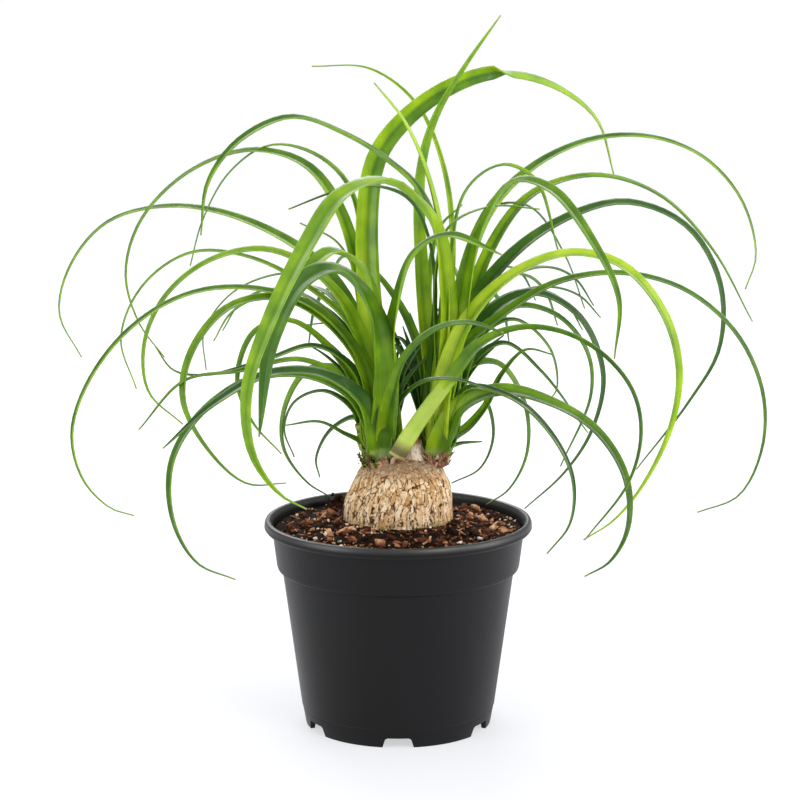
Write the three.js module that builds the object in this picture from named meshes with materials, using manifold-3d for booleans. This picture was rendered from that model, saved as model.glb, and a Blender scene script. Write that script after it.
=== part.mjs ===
// A potted ponytail palm: a swollen corky stem in a plastic nursery pot, with two heads of long arching
// strap leaves. Millimetres, +Z up, +X to the right and +Y to the back for someone in front of it. The
// origin is on the pot's axis, on the surface that the pot stands on.
import * as THREE from 'three';
import { mergeVertices } from 'three/addons/utils/BufferGeometryUtils.js';
import Module from 'manifold-3d';

const wasm = await Module();
wasm.setup();

// Pot
const rimRadius = 85;
const potHeight = 133;
const rimDepth = 6.7; // height of the rolled rim
const bandTopRadius = 80; // the band under the rim
const bandFootRadius = 77.2;
const shoulderHeight = 101.2; // where the band steps in to the wall
const wallTopRadius = 73.7;
const footRadius = 59.3;
const wallThickness = 1.2;
const floorUnderside = 6.5;
const floorThickness = 1.5;
const potSides = 36;
const footNotches = 6;
const notchTopWidth = 15.5;
const notchFootWidth = 19.5;
const notchHeight = 6.3;
const drainHoles = 6;
const drainHoleRadius = 4.5;
const drainCircle = 38;

// Soil
const soilEdgeHeight = 126.6; // against the pot's wall
const soilMound = 4.6; // rise of the soil towards the stem
const soilGap = 0.45; // to the pot and to the stem
const soilRoughness = 1.7; // how far its top rises and dips
const soilLump = 6; // width of a rise or dip
const barkChips = 16;
const chipLength = [5, 11];
const chipWidth = [3, 5];
const chipThickness = [2, 3];
const chipRing = [47, 71]; // distances from the pot's axis that the chips lie at

// Caudex, the swollen stem base
const caudexCentre = new THREE.Vector3(0, 8, 0);
const caudexSides = 40;
const caudexStep = 7.5; // height of one facet
const barkDepth = 1.7; // how far the fissures cut into the cork
const barkStart = 130; // the bark is smooth where it is buried
const fissures = 13; // round the stem
const caudexLean = 2; // how far its top stands to the right
const leanStart = 137; // it leans over this height and the next 20 mm
const caudexOutline = [
  [0, 95],
  [17, 97],
  [27, 103],
  [32.4, 112],
  [34.4, 122],
  [34.8, 131],
  [34.4, 139],
  [33.3, 146],
  [31, 153],
  [28.2, 159.5],
  [24.6, 165],
  [19, 168.6],
  [10, 170.4],
  [0, 171],
];

// Heads: the sheath core that the leaves of each head grow from. The leaves at the back, which the front
// view hides, follow a rule: fan is the range of their directions, in half turns from +X, and seed starts
// the draw of their sizes.
const heads = {
  left: {
    x: -10.5,
    y: 4,
    fan: [0.52, 0.84],
    seed: 5,
    core: [[0, 166.5], [8.5, 167.5], [11, 172], [11.6, 181], [10.6, 193], [8.4, 207], [5, 222], [0, 238]],
    collar: [[0, 160], [13.6, 163], [13.6, 169], [12.5, 173.2], [0, 174]],
  },
  right: {
    x: 24.5,
    y: 8,
    fan: [0.16, 0.48],
    seed: 32,
    core: [[0, 165], [5.2, 166], [7.6, 172], [9.3, 184], [9.8, 199], [7.6, 214], [4.2, 228], [0, 242]],
    collar: [[0, 162], [9.4, 164.5], [10, 168.5], [9, 171.8], [0, 172.5]],
  },
};
const socketGap = 0.4; // between a head's core and the stem that it stands in
const stubPlace = [9, 7]; // the pale stub of bark between the two heads
const stubOutline = [[0, 160], [6.2, 162], [5.6, 170], [5.2, 177], [3.4, 183], [0, 185.5]];
const shootRadius = [3.6, 4.4]; // the short shoot beside the left head, at its top and foot
const shootHeight = 20;
const shootTilt = -0.3;
const shootCentre = [-18.5, 2, 185];
const shortEdge = 0.01; // where bodies are fused, edges shorter than this are merged away

// Leaves
const eye = new THREE.Vector3(1, -1500, 485); // the viewpoint that the leaves are described from
const bladeStep = 29; // mean length of one facet along a leaf, shorter towards the tip
const bladeFold = 0.42; // how far the edges rise, as a share of half the width
const bladeThickness = 1.3;
const tipThickness = 0.8;
const tipWidth = 1.1;
const usualShape = [0.25, 1.5]; // see shape below
const baseShare = 0.5; // share of the leaf over which its root's extra width is lost
const seenShare = 0.88; // share of a leaf's true width that shows from the front
const usualFace = 0.7; // see face below
const faceChange = [1.1, 0.6]; // a leaf's face is this many times its value at the root and farther out
const faceShare = 0.7; // share of the leaf over which that changes
const usualCrest = 0.5; // share of that face which is left where the leaf is level
const steepFrom = 0.6; // slope, as a sine, from which a leaf shows its whole face

// Each leaf is given by the points [x, z] that its midrib passes as seen from the front, on the plane
// y = 0. depth is how far back its tip lies (towards the viewer if negative), and face says how far the
// blade is turned to the front: 1 shows its upper side flat, -1 its underside, 0 leaves it untwisted.
// root is the depth that it starts from, where its own head hides another. shape says how much wider it
// is at its root than the rest of its outline, and how late it tapers.
const leftLeaves = [
  {
    width: 8,
    depth: 110,
    seen: [[-13, 185], [-19, 238], [-44, 289], [-90, 320], [-140, 331], [-181, 321], [-205, 293],
      [-212, 263], [-199, 236]],
  },
  {
    width: 8,
    depth: 80,
    seen: [[-14, 190], [-22, 272], [-37, 330], [-58, 357], [-92, 365.5], [-130, 352], [-160, 322],
      [-170, 288], [-162, 257], [-147, 236]],
  },
  {
    width: 3.5,
    depth: 60,
    seen: [[-14, 195], [-20, 282], [-30, 343], [-52, 364], [-80, 369], [-105, 352], [-122, 322],
      [-130, 294]],
  },
  {
    width: 11.5,
    depth: 45,
    face: 0.8,
    seen: [[-12, 185], [-17, 262], [-19, 330], [-13, 362], [4, 385], [32, 405], [62, 414], [95, 407],
      [122, 386], [134, 348]],
  },
  {
    width: 11.5,
    depth: -45,
    face: 0.7,
    shape: [0.2, 2.6],
    seen: [[-11, 185], [-12, 245], [-24, 293], [-42, 302], [-60, 285], [-78, 240]],
  },
  {
    width: 13,
    depth: -85,
    face: 0.75,
    shape: [0.2, 2.6],
    seen: [[-11, 185], [-9, 225], [-17, 265], [-38, 290], [-60, 283], [-79, 246], [-88, 185]],
  },
  {
    width: 9.5,
    depth: -60,
    seen: [[-13, 185], [-21, 227], [-45, 258], [-75, 273], [-106, 267], [-129, 240], [-135, 209],
      [-119, 176], [-96, 155], [-71, 155]],
  },
  {
    width: 8.5,
    depth: -15,
    seen: [[-14, 188], [-24, 250], [-50, 288], [-82, 303.5], [-117, 297], [-145, 275], [-159, 245],
      [-157, 214], [-136, 193]],
  },
  {
    width: 4.5,
    depth: 25,
    seen: [[-14, 192], [-26, 250], [-57, 281], [-95, 300], [-130, 302], [-160, 281], [-174, 248],
      [-165, 216]],
  },
  {
    width: 6,
    depth: -75,
    seen: [[-14, 186], [-24, 235], [-52, 267], [-92, 279.5], [-131, 276], [-167, 255], [-194, 222],
      [-206, 188], [-200, 158], [-183, 139], [-168, 134]],
  },
  {
    width: 3,
    depth: 90,
    seen: [[-12, 195], [-24, 262], [-47, 286], [-74, 289], [-104, 277], [-122, 252], [-121, 228]],
  },
  {
    width: 7,
    depth: -30,
    seen: [[-15, 182], [-23, 210], [-42, 240], [-68, 259], [-90, 252], [-101, 222], [-92, 195],
      [-74, 174]],
  },
  {
    width: 6,
    depth: -40,
    seen: [[-15, 182], [-26, 225], [-52, 243], [-84, 234], [-120, 225], [-141, 228], [-152, 243]],
  },
  {
    width: 6,
    depth: -50,
    seen: [[-15, 180], [-27, 214], [-60, 234], [-100, 227], [-135, 221], [-164, 190]],
  },
  {
    width: 8,
    depth: -115,
    seen: [[-14.6, 182], [-27, 207], [-55, 223], [-90, 222], [-123, 201], [-143, 169], [-143, 131],
      [-128, 103], [-104, 92]],
  },
  {
    width: 9.5,
    depth: 50,
    seen: [[-12, 185], [-15, 204], [-30, 223], [-54, 228], [-70, 206], [-72, 178], [-58, 156],
      [-44, 146.5]],
  },
  {
    width: 4,
    depth: 30,
    seen: [[-14, 184], [-27, 201], [-46, 214.5], [-65, 208], [-72, 190], [-66, 172]],
  },
  {
    width: 4.5,
    depth: -25,
    seen: [[-13, 181], [-23, 181], [-34, 187], [-50, 195], [-71, 193]],
  },
  {
    width: 5.5,
    depth: 25,
    seen: [[-13, 186], [-26, 197], [-42, 190], [-52, 171], [-50, 159]],
  },
  {
    width: 9.5,
    depth: -95,
    seen: [[-13, 183], [-23, 207], [-48, 224], [-80, 225], [-115, 207], [-149, 178]],
  },
  {
    width: 2.6,
    depth: 60,
    seen: [[-13, 200], [-22, 275], [-38, 309], [-61, 321]],
  },
  {
    width: 3,
    depth: 30,
    seen: [[-14, 200], [-24, 235], [-42, 257], [-58, 257]],
  },
  {
    width: 9.5,
    depth: -70,
    seen: [[-8, 185], [-6, 225], [-1, 265], [11, 302], [32, 313], [65, 301]],
  },
  {
    width: 9,
    depth: -95,
    seen: [[-8, 183], [-5, 206], [6, 237], [25, 254], [46, 258], [66, 252]],
  },
  {
    width: 6,
    depth: -60,
    seen: [[-7, 183], [-2, 201], [13, 219], [36, 222], [70, 211]],
  },
  {
    width: 7.8,
    depth: -105,
    root: -6,
    face: -0.75,
    seen: [[-7, 176], [10, 189], [32, 220], [50, 243], [75, 254], [102, 252], [128, 238], [147, 215],
      [153, 188], [146, 156], [119, 118]],
  },
];
const rightLeaves = [
  {
    width: 8,
    depth: 40,
    seen: [[22, 190], [17, 225], [8, 255], [-4, 277], [-20, 295], [-40, 303]],
  },
  {
    width: 7.5,
    depth: 35,
    seen: [[21, 190], [16, 218], [8, 240], [0, 249], [-11, 247]],
  },
  {
    width: 7,
    depth: 30,
    seen: [[23, 190], [20, 240], [19, 285], [26, 318], [40, 332]],
  },
  {
    width: 10.5,
    depth: -45,
    seen: [[26, 185], [29, 245], [25, 305], [12, 341], [-4, 357], [-30, 374], [-65, 386], [-98, 372],
      [-118, 346], [-123, 313]],
  },
  {
    width: 9.5,
    depth: 20,
    seen: [[22, 190], [14, 290], [13, 352], [22, 386], [41, 418], [63, 448]],
  },
  {
    width: 4,
    depth: 55,
    seen: [[25, 195], [34, 305], [27, 360], [10, 396], [-18, 416], [-53, 417]],
  },
  {
    width: 10,
    depth: -30,
    seen: [[26, 190], [31, 285], [21, 345], [4, 384], [-15, 407]],
  },
  {
    width: 6,
    depth: -10,
    crest: 0.1,
    seen: [[24, 200], [23, 292], [9, 334], [-8, 343], [-36, 341], [-68, 329]],
  },
  {
    width: 13,
    depth: -144,
    root: 5,
    face: 0.85,
    shape: [-0.2, 2.8],
    crest: 0.05,
    seen: [[26, 185], [31, 245], [29, 280], [22, 318], [6, 339], [-8, 346], [-23, 343], [-38, 334],
      [-54, 310], [-80, 259], [-95, 213], [-92, 174], [-75, 148], [-58, 138]],
  },
  {
    width: 8.5,
    depth: 45,
    seen: [[27, 190], [38, 270], [56, 326], [85, 356], [120, 372], [155, 374], [188, 362], [213, 335],
      [223, 300], [217, 279]],
  },
  {
    width: 6,
    depth: -15,
    seen: [[26, 190], [32, 282], [42, 341], [64, 357], [85, 348], [100, 303]],
  },
  {
    width: 3,
    depth: 30,
    seen: [[26, 190], [38, 285], [58, 330], [82, 331], [104, 301], [117, 267]],
  },
  {
    width: 10,
    depth: -80,
    seen: [[28, 188], [40, 250], [53, 317], [72, 346], [95, 341], [121, 309], [138, 273], [136, 235]],
  },
  {
    width: 8.5,
    depth: 55,
    seen: [[28, 190], [40, 250], [58, 305], [83, 338], [122, 350], [162, 338], [196, 304], [222, 259]],
  },
  {
    width: 9.5,
    depth: 15,
    seen: [[29, 186], [38, 248], [62, 290], [97, 319], [140, 333], [178, 319], [200, 284], [201, 242],
      [183, 208], [151, 164]],
  },
  {
    width: 10.5,
    depth: -60,
    seen: [[27, 190], [30, 222], [45, 260], [73, 288], [108, 301], [140, 293], [166, 263], [176, 228],
      [172, 193], [156, 156], [137, 131], [118, 118]],
  },
  {
    width: 6.5,
    depth: -40,
    seen: [[30, 190], [38, 238], [66, 263], [98, 282.5], [138, 289], [178, 279], [211, 252], [229, 215],
      [230, 178], [216, 147], [190, 136]],
  },
  {
    width: 10,
    depth: 60,
    seen: [[30, 185], [38, 222], [58, 263], [84, 276], [112, 262], [128, 226], [122, 190], [105, 162],
      [80.5, 138.5]],
  },
  {
    width: 8,
    depth: 45,
    seen: [[29, 190], [44, 236], [70, 267], [98, 263], [118, 240], [121, 212], [103, 166]],
  },
  {
    width: 6,
    depth: 40,
    seen: [[30, 188], [46, 231], [66, 245], [90, 227], [120, 188]],
  },
  {
    width: 6.5,
    depth: -110,
    seen: [[28, 183], [38, 203], [64, 214], [96, 207], [125, 189], [144, 159], [146, 126], [135, 104],
      [119, 94]],
  },
  {
    width: 5,
    depth: -125,
    seen: [[28, 186], [42, 215], [70, 211], [96, 188], [111, 157], [109, 128], [95, 109]],
  },
  {
    width: 7,
    depth: 42,
    seen: [[29, 190], [42, 228], [62, 232], [79, 207], [81, 174], [70, 151], [56, 141]],
  },
  {
    width: 4,
    depth: 20,
    seen: [[28, 190], [38, 214], [53, 211], [60, 187], [52, 165], [34, 155]],
  },
  {
    width: 6,
    depth: 30,
    seen: [[28, 195], [48, 245], [72, 260], [95, 242], [100, 216], [95, 208]],
  },
  {
    width: 6,
    depth: -15,
    seen: [[24, 200], [23, 288], [32, 319], [58, 331], [88, 329]],
  },
  {
    width: 5,
    depth: 10,
    seen: [[25, 178], [33, 179], [40, 181], [53, 182.5]],
  },
  {
    width: 6,
    depth: 15,
    seen: [[27, 180], [44, 191], [56, 206], [65, 225], [80, 241], [98, 238]],
  },
];
const blindLeaves = 8; // at the back of each head
const blindStart = 184; // height where they leave the core
const blindLength = [185, 230];
const blindWidth = [6.5, 9.5];
const blindLean = [0.08, 0.2]; // from upright at the root, in radians
const blindDroop = [2.4, 3]; // from upright at the tip

const pi = Math.PI;

function ease(t) {
  return t * t * (3 - 2 * t);
}

function between(low, value, high) {
  return Math.min(high, Math.max(low, value));
}

// A seeded draw of numbers from 0 to 1
function draws(seed) {
  let state = seed;
  return () => {
    state = (state * 16807) % 2147483647;
    return state / 2147483647;
  };
}

// A value in a [low, high] range at a share from 0 to 1
function within([low, high], share) {
  return low + (high - low) * share;
}

// A value from 0 to 1 that changes smoothly from one whole number to the next
function roughness(u, v) {
  const corner = (i, j) => {
    const wave = Math.sin(i * 127.1 + j * 311.7) * 43758.5453;
    return wave - Math.floor(wave);
  };
  const i = Math.floor(u);
  const j = Math.floor(v);
  const near = THREE.MathUtils.lerp(corner(i, j), corner(i + 1, j), ease(u - i));
  const far = THREE.MathUtils.lerp(corner(i, j + 1), corner(i + 1, j + 1), ease(u - i));
  return THREE.MathUtils.lerp(near, far, ease(v - j));
}

// A closed geometry as a solid: shared vertices merged, collapsed triangles at the poles dropped
function solid(geometry) {
  const bare = geometry.clone();
  bare.deleteAttribute('normal');
  bare.deleteAttribute('uv');
  const merged = mergeVertices(bare, 1e-4);
  const index = merged.index.array;
  const kept = [];
  for (let i = 0; i < index.length; i += 3) {
    const [a, b, c] = index.slice(i, i + 3);
    if (a !== b && b !== c && c !== a) {
      kept.push(a, b, c);
    }
  }
  return new wasm.Manifold(new wasm.Mesh({
    numProp: 3,
    vertProperties: new Float32Array(merged.attributes.position.array),
    triVerts: new Uint32Array(kept),
  }));
}

function geometryOf(body) {
  const mesh = body.getMesh();
  const geometry = new THREE.BufferGeometry();
  geometry.setAttribute('position', new THREE.BufferAttribute(mesh.vertProperties, 3));
  geometry.setIndex(new THREE.BufferAttribute(mesh.triVerts, 1));
  geometry.computeVertexNormals();
  return geometry;
}

// One body of all the given ones. Small hollows that the joining seals are filled: only the outer
// skin is kept.
function join(bodies) {
  const whole = bodies.reduce((sum, body) => sum.add(body)).simplify(shortEdge);
  const skins = whole.decompose();
  return skins.reduce((largest, skin) => (skin.volume() > largest.volume() ? skin : largest));
}

// A shape turned about the Z axis from its outline of [radius, height] points, up the outside
function turned(outline, sides) {
  const points = outline.map(([radius, height]) => new THREE.Vector2(radius, height));
  return new THREE.LatheGeometry(points, sides).rotateX(pi / 2);
}

// The outline shifted outwards by a gap, and downwards too below its widest point
function grown(outline, gap) {
  const widest = outline.reduce((wide, point) => (point[0] > wide[0] ? point : wide));
  return outline.map(([radius, height]) => {
    return [radius === 0 ? 0 : radius + gap, height < widest[1] ? height - gap : height];
  });
}

function potOutline() {
  const rimFoot = potHeight - rimDepth;
  const inner = bandTopRadius - wallThickness;
  const outline = new THREE.Path();
  outline.moveTo(0, floorUnderside);
  outline.lineTo(footRadius - 3.2, floorUnderside);
  outline.lineTo(footRadius - 2.8, 0);
  outline.lineTo(footRadius, 0);
  outline.lineTo(footRadius + 2.1, 11.4);
  outline.lineTo(footRadius + 2.5, 12);
  outline.lineTo(wallTopRadius, shoulderHeight - 1);
  outline.lineTo(wallTopRadius + 1.6, shoulderHeight - 0.4);
  outline.quadraticCurveTo(bandFootRadius - 0.2, shoulderHeight, bandFootRadius, shoulderHeight + 2.6);
  outline.lineTo(bandTopRadius, rimFoot);
  outline.lineTo(rimRadius - 1.6, rimFoot);
  outline.quadraticCurveTo(rimRadius, rimFoot + 0.1, rimRadius, rimFoot + 2);
  outline.lineTo(rimRadius - 0.2, potHeight - 2.4);
  outline.quadraticCurveTo(rimRadius - 0.6, potHeight, rimRadius - 2.6, potHeight);
  outline.quadraticCurveTo(bandTopRadius + 0.4, potHeight - 0.2, bandTopRadius - 0.1, potHeight - 2.6);
  outline.lineTo(inner, rimFoot - 0.3);
  outline.lineTo(bandFootRadius - wallThickness, shoulderHeight + 3);
  outline.lineTo(wallTopRadius - wallThickness, shoulderHeight - 2);
  outline.lineTo(footRadius + 0.9, floorUnderside + 3);
  outline.lineTo(footRadius - 1.4, floorUnderside + floorThickness);
  outline.lineTo(0, floorUnderside + floorThickness);
  return outline.getPoints(2).map((point) => [point.x, point.y]);
}

// One notch through the foot ring, for the water to run off
function notch() {
  const shape = new THREE.Shape();
  shape.moveTo(-notchFootWidth / 2, -2);
  shape.lineTo(notchFootWidth / 2, -2);
  shape.lineTo(notchFootWidth / 2, 0);
  shape.lineTo(notchTopWidth / 2 + 0.4, notchHeight - 1);
  shape.lineTo(notchTopWidth / 2 - 1, notchHeight);
  shape.lineTo(-notchTopWidth / 2 + 1, notchHeight);
  shape.lineTo(-notchTopWidth / 2 - 0.4, notchHeight - 1);
  shape.lineTo(-notchFootWidth / 2, 0);
  const geometry = new THREE.ExtrudeGeometry(shape, { depth: 16, bevelEnabled: false });
  return geometry.rotateX(pi / 2).translate(0, 8 - footRadius, 0);
}

function potBody() {
  let body = solid(turned(potOutline(), potSides));
  for (let i = 0; i < footNotches; i++) {
    body = body.subtract(solid(notch().rotateZ((i * 2 * pi) / footNotches)));
  }
  for (let i = 0; i < drainHoles; i++) {
    const hole = new THREE.CylinderGeometry(drainHoleRadius, drainHoleRadius, 4 * floorThickness, 10);
    hole.rotateX(pi / 2).translate(drainCircle, 0, floorUnderside);
    body = body.subtract(solid(hole.rotateZ(((i + 0.5) * 2 * pi) / drainHoles)));
  }
  return body;
}

// Height of the soil at a distance from the pot's axis
function soilHeight(radius) {
  return soilEdgeHeight + soilMound * ease(between(0, (66 - radius) / 26, 1));
}

function soilOutline() {
  const inner = wallThickness + soilGap;
  const outline = [
    [0, floorUnderside + floorThickness + soilGap],
    [footRadius - 1.8, floorUnderside + floorThickness + soilGap],
    [footRadius + 0.4, floorUnderside + 3.2],
    [wallTopRadius - inner, shoulderHeight - 2.2],
    [bandFootRadius - inner, shoulderHeight + 2.8],
    [bandTopRadius - inner - 0.1, soilEdgeHeight - 1],
  ];
  for (let radius = 76; radius > 26; radius -= 6) {
    outline.push([radius, soilHeight(radius)]);
  }
  outline.push([0, soilHeight(0)]);
  return outline;
}

// The top of the soil is uneven, least so at its edge
function roughenSoil(geometry) {
  const place = geometry.attributes.position;
  for (let i = 0; i < place.count; i++) {
    const radius = Math.hypot(place.getX(i), place.getY(i));
    if (place.getZ(i) >= soilEdgeHeight && radius > 1) {
      const share = between(0.35, (78 - radius) / 10, 1);
      const rise = roughness(place.getX(i) / soilLump + 40, place.getY(i) / soilLump + 40) - 0.5;
      place.setZ(i, place.getZ(i) + 2 * soilRoughness * share * rise);
    }
  }
  return geometry;
}

function barkChip(draw) {
  const size = [chipLength, chipWidth, chipThickness].map((range) => within(range, draw()));
  const chip = new THREE.BoxGeometry(...size);
  chip.rotateX(0.5 * (draw() - 0.5)).rotateY(0.7 * (draw() - 0.5)).rotateZ(pi * draw());
  const angle = 2 * pi * draw();
  const radius = within(chipRing, draw());
  const x = radius * Math.cos(angle);
  const y = radius * Math.sin(angle);
  return chip.translate(x, y, soilHeight(radius) + 0.4);
}

function soilBody() {
  const filling = roughenSoil(turned(soilOutline(), potSides));
  const bodies = [solid(filling)];
  const draw = draws(21);
  for (let i = 0; i < barkChips; i++) {
    bodies.push(solid(barkChip(draw)));
  }
  const hole = turned(grown(denser(caudexOutline, caudexStep), soilGap), caudexSides);
  return join(bodies).subtract(solid(hole.translate(caudexCentre.x, caudexCentre.y, 0)));
}

// Cork plates: fissures that run up the stem and wander, with shallow cracks across them
function carveBark(geometry) {
  const place = geometry.attributes.position;
  for (let i = 0; i < place.count; i++) {
    const angle = Math.atan2(place.getY(i), place.getX(i));
    const height = place.getZ(i);
    const radius = Math.hypot(place.getX(i), place.getY(i));
    if (height > barkStart && radius > 5) {
      const wander = 1.6 * Math.sin(height / 13) + Math.sin(height / 5 + 3 * Math.cos(angle));
      const fissure = Math.pow(Math.abs(Math.sin((fissures / 2) * angle + wander)), 0.6);
      const crack = roughness(height / 5, 9 + 4 * Math.cos(angle) + 3 * Math.sin(angle));
      const share = between(0, (height - barkStart) / 8, 1);
      const depth = barkDepth * share * (0.75 * (1 - fissure) + 0.35 * crack);
      const lean = caudexLean * ease(between(0, (height - leanStart) / 20, 1));
      place.setX(i, place.getX(i) * (1 - depth / radius) + lean);
      place.setY(i, place.getY(i) * (1 - depth / radius));
    }
  }
  return geometry;
}

function denser(outline, step) {
  const curve = new THREE.SplineCurve(outline.map(([radius, height]) => new THREE.Vector2(radius, height)));
  const count = Math.round(curve.getLength() / step);
  return curve.getSpacedPoints(count).map((point, i) => {
    const onAxis = i === 0 || i === count;
    return [onAxis ? 0 : Math.max(point.x, 0.5), point.y];
  });
}

function barkStub() {
  const geometry = turned(stubOutline, 11);
  const place = geometry.attributes.position;
  for (let i = 0; i < place.count; i++) {
    const push = roughness(place.getX(i) + 50, place.getZ(i) / 4) - 0.5;
    const radius = Math.hypot(place.getX(i), place.getY(i));
    if (radius > 1) {
      place.setX(i, place.getX(i) * (1 + 0.25 * push));
      place.setY(i, place.getY(i) * (1 + 0.25 * push));
    }
  }
  return geometry.translate(stubPlace[0], stubPlace[1], 0);
}

// The dried leaf bases round a head, as a low torn ring
function collar(head) {
  const geometry = turned(head.collar, 18);
  const place = geometry.attributes.position;
  for (let i = 0; i < place.count; i++) {
    const angle = Math.atan2(place.getY(i), place.getX(i));
    const radius = Math.hypot(place.getX(i), place.getY(i));
    if (radius > 1) {
      const flare = 1 + 0.1 * Math.sin(5 * angle + head.x) * Math.cos(2 * angle);
      place.setX(i, place.getX(i) * flare);
      place.setY(i, place.getY(i) * flare);
    }
  }
  return geometry.translate(head.x, head.y, 0);
}

function caudexBody() {
  const trunk = carveBark(turned(denser(caudexOutline, caudexStep), caudexSides));
  trunk.translate(caudexCentre.x, caudexCentre.y, 0);
  const collars = [heads.left, heads.right].map((head) => solid(collar(head)));
  let body = join([solid(trunk), solid(barkStub()), ...collars]);
  for (const head of [heads.left, heads.right]) {
    const socket = turned(grown(head.core, socketGap), 16).translate(head.x, head.y, 0);
    body = body.subtract(solid(socket));
  }
  return body;
}

// The point at a depth that is seen from the front at (x, z) on the plane y = 0
function fromView([x, z], depth) {
  const share = (depth - eye.y) / -eye.y;
  return new THREE.Vector3(eye.x + (x - eye.x) * share, depth, eye.z + (z - eye.z) * share);
}

function midrib(head, leaf) {
  const run = [0];
  for (let i = 1; i < leaf.seen.length; i++) {
    const [from, to] = [leaf.seen[i - 1], leaf.seen[i]];
    run.push(run[i - 1] + Math.hypot(to[0] - from[0], to[1] - from[1]));
  }
  const whole = run[run.length - 1];
  const start = leaf.root ?? head.y + 0.05 * leaf.depth;
  const points = leaf.seen.map((point, i) => {
    return fromView(point, THREE.MathUtils.lerp(start, leaf.depth, ease(run[i] / whole)));
  });
  return new THREE.CatmullRomCurve3(points);
}

// A leaf at the back: it rises steeply, arches over and hangs
function blindRib(head, turn, draw) {
  const angle = pi * within(head.fan, turn);
  const length = within(blindLength, draw());
  const lean = within(blindLean, draw());
  const droop = within(blindDroop, draw());
  const root = new THREE.Vector3(head.x + 4 * Math.cos(angle), head.y + 4 * Math.sin(angle), blindStart);
  const points = [root];
  const pieces = 8;
  for (let i = 0; i < pieces; i++) {
    const bend = lean + (droop - lean) * Math.pow((i + 0.5) / pieces, 1.4);
    const ahead = Math.sin(bend);
    const step = new THREE.Vector3(Math.cos(angle) * ahead, Math.sin(angle) * ahead, Math.cos(bend));
    points.push(points[i].clone().addScaledVector(step, length / pieces));
  }
  return new THREE.CatmullRomCurve3(points);
}

// The direction across the blade at each step, turned gradually to show its face to the front
function acrossAlong(curve, steps, face, crest) {
  const heading = curve.getPointAt(0.5).sub(curve.getPointAt(0)).setZ(0).normalize();
  const level = new THREE.Vector3(heading.y, -heading.x, 0);
  const across = [];
  let turnBefore = 0;
  for (let i = 0; i <= steps; i++) {
    const share = ringShare(i, steps);
    const along = curve.getTangentAt(share);
    const side = level.clone().addScaledVector(along, -level.dot(along)).normalize();
    const upper = new THREE.Vector3().crossVectors(side, along);
    const sight = eye.clone().sub(curve.getPointAt(share)).multiplyScalar(Math.sign(face) || 1);
    let turn = Math.atan2(sight.dot(side), sight.dot(upper));
    if (i > 0) {
      turn -= 2 * pi * Math.round((turn - turnBefore) / (2 * pi));
    }
    turnBefore = turn;
    const steep = Math.min(1, Math.abs(along.z) / steepFrom);
    const shown = Math.abs(face) * within(faceChange, ease(Math.min(share / faceShare, 1)));
    across.push(side.applyAxisAngle(along, turn * shown * within([crest, 1], steep)));
  }
  return across;
}

// How far along the leaf each ring lies: closer together where it bends most
function ringShare(ring, steps) {
  return Math.pow(ring / steps, 0.8);
}

// The width of a blade as a share of its leaf's width
function bladeWidth(share, [widening, taper]) {
  const base = 1 + widening * (1 - ease(Math.min(share / baseShare, 1)));
  return base * Math.pow(1 - Math.pow(share, taper), 0.9);
}

// Of the bar's four sides every other one is split along its other diagonals, so that the diagonals above
// and below the blade match, and its two faces stay apart where it twists
function splitAlike(geometry, steps) {
  const index = geometry.index.array;
  for (const side of [1, 3]) {
    for (let quad = side * steps; quad < (side + 1) * steps; quad++) {
      const [a, b, d, , c] = index.slice(6 * quad, 6 * quad + 6);
      index.set([a, b, c, a, c, d], 6 * quad);
    }
  }
  return geometry;
}

// A blade starts as a four-sided bar: two edges and the upper and lower midrib. Every ring of it is
// laid across the midrib's curve, and the edges rise, so the blade is a shallow gutter.
function blade(curve, width, face, shape = usualShape, crest = usualCrest) {
  const steps = Math.max(5, Math.round(curve.getLength() / bladeStep));
  const across = acrossAlong(curve, steps, face, crest);
  const geometry = new THREE.CylinderGeometry(1, 1, 1, 4, steps);
  const place = geometry.attributes.position;
  for (let i = 0; i < place.count; i++) {
    const ring = Math.round((place.getY(i) + 0.5) * steps);
    const share = ringShare(ring, steps);
    const along = curve.getTangentAt(share);
    const upper = new THREE.Vector3().crossVectors(across[ring], along);
    const half = Math.max(tipWidth, width * bladeWidth(share, shape)) / 2;
    const thick = THREE.MathUtils.lerp(bladeThickness, tipThickness, share) / 2;
    const rise = bladeFold * half * Math.abs(place.getX(i)) + thick * place.getZ(i);
    const point = curve.getPointAt(share);
    point.addScaledVector(across[ring], half * place.getX(i)).addScaledVector(upper, rise);
    place.setXYZ(i, point.x, point.y, point.z);
  }
  return splitAlike(geometry, steps);
}

function leafBody(head, leaf) {
  const face = leaf.face ?? usualFace;
  return solid(blade(midrib(head, leaf), leaf.width / seenShare, face, leaf.shape, leaf.crest));
}

function headBody(head, leaves, extras) {
  const core = turned(head.core, 16).translate(head.x, head.y, 0);
  const bodies = [solid(core)];
  for (const leaf of leaves) {
    bodies.push(leafBody(head, leaf));
  }
  const draw = draws(head.seed);
  for (let i = 0; i < blindLeaves; i++) {
    const curve = blindRib(head, (i + 0.5) / blindLeaves, draw);
    bodies.push(solid(blade(curve, within(blindWidth, draw()), 0)));
  }
  return join(bodies.concat(extras));
}

function sideShoot() {
  const shoot = new THREE.CylinderGeometry(...shootRadius, shootHeight, 9, 2);
  return solid(shoot.rotateX(pi / 2).rotateY(shootTilt).translate(...shootCentre));
}

function part(name, body, colour, roughness) {
  const material = new THREE.MeshStandardMaterial({ color: colour, roughness, metalness: 0 });
  const mesh = new THREE.Mesh(geometryOf(body), material);
  mesh.name = name;
  return mesh;
}

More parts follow.
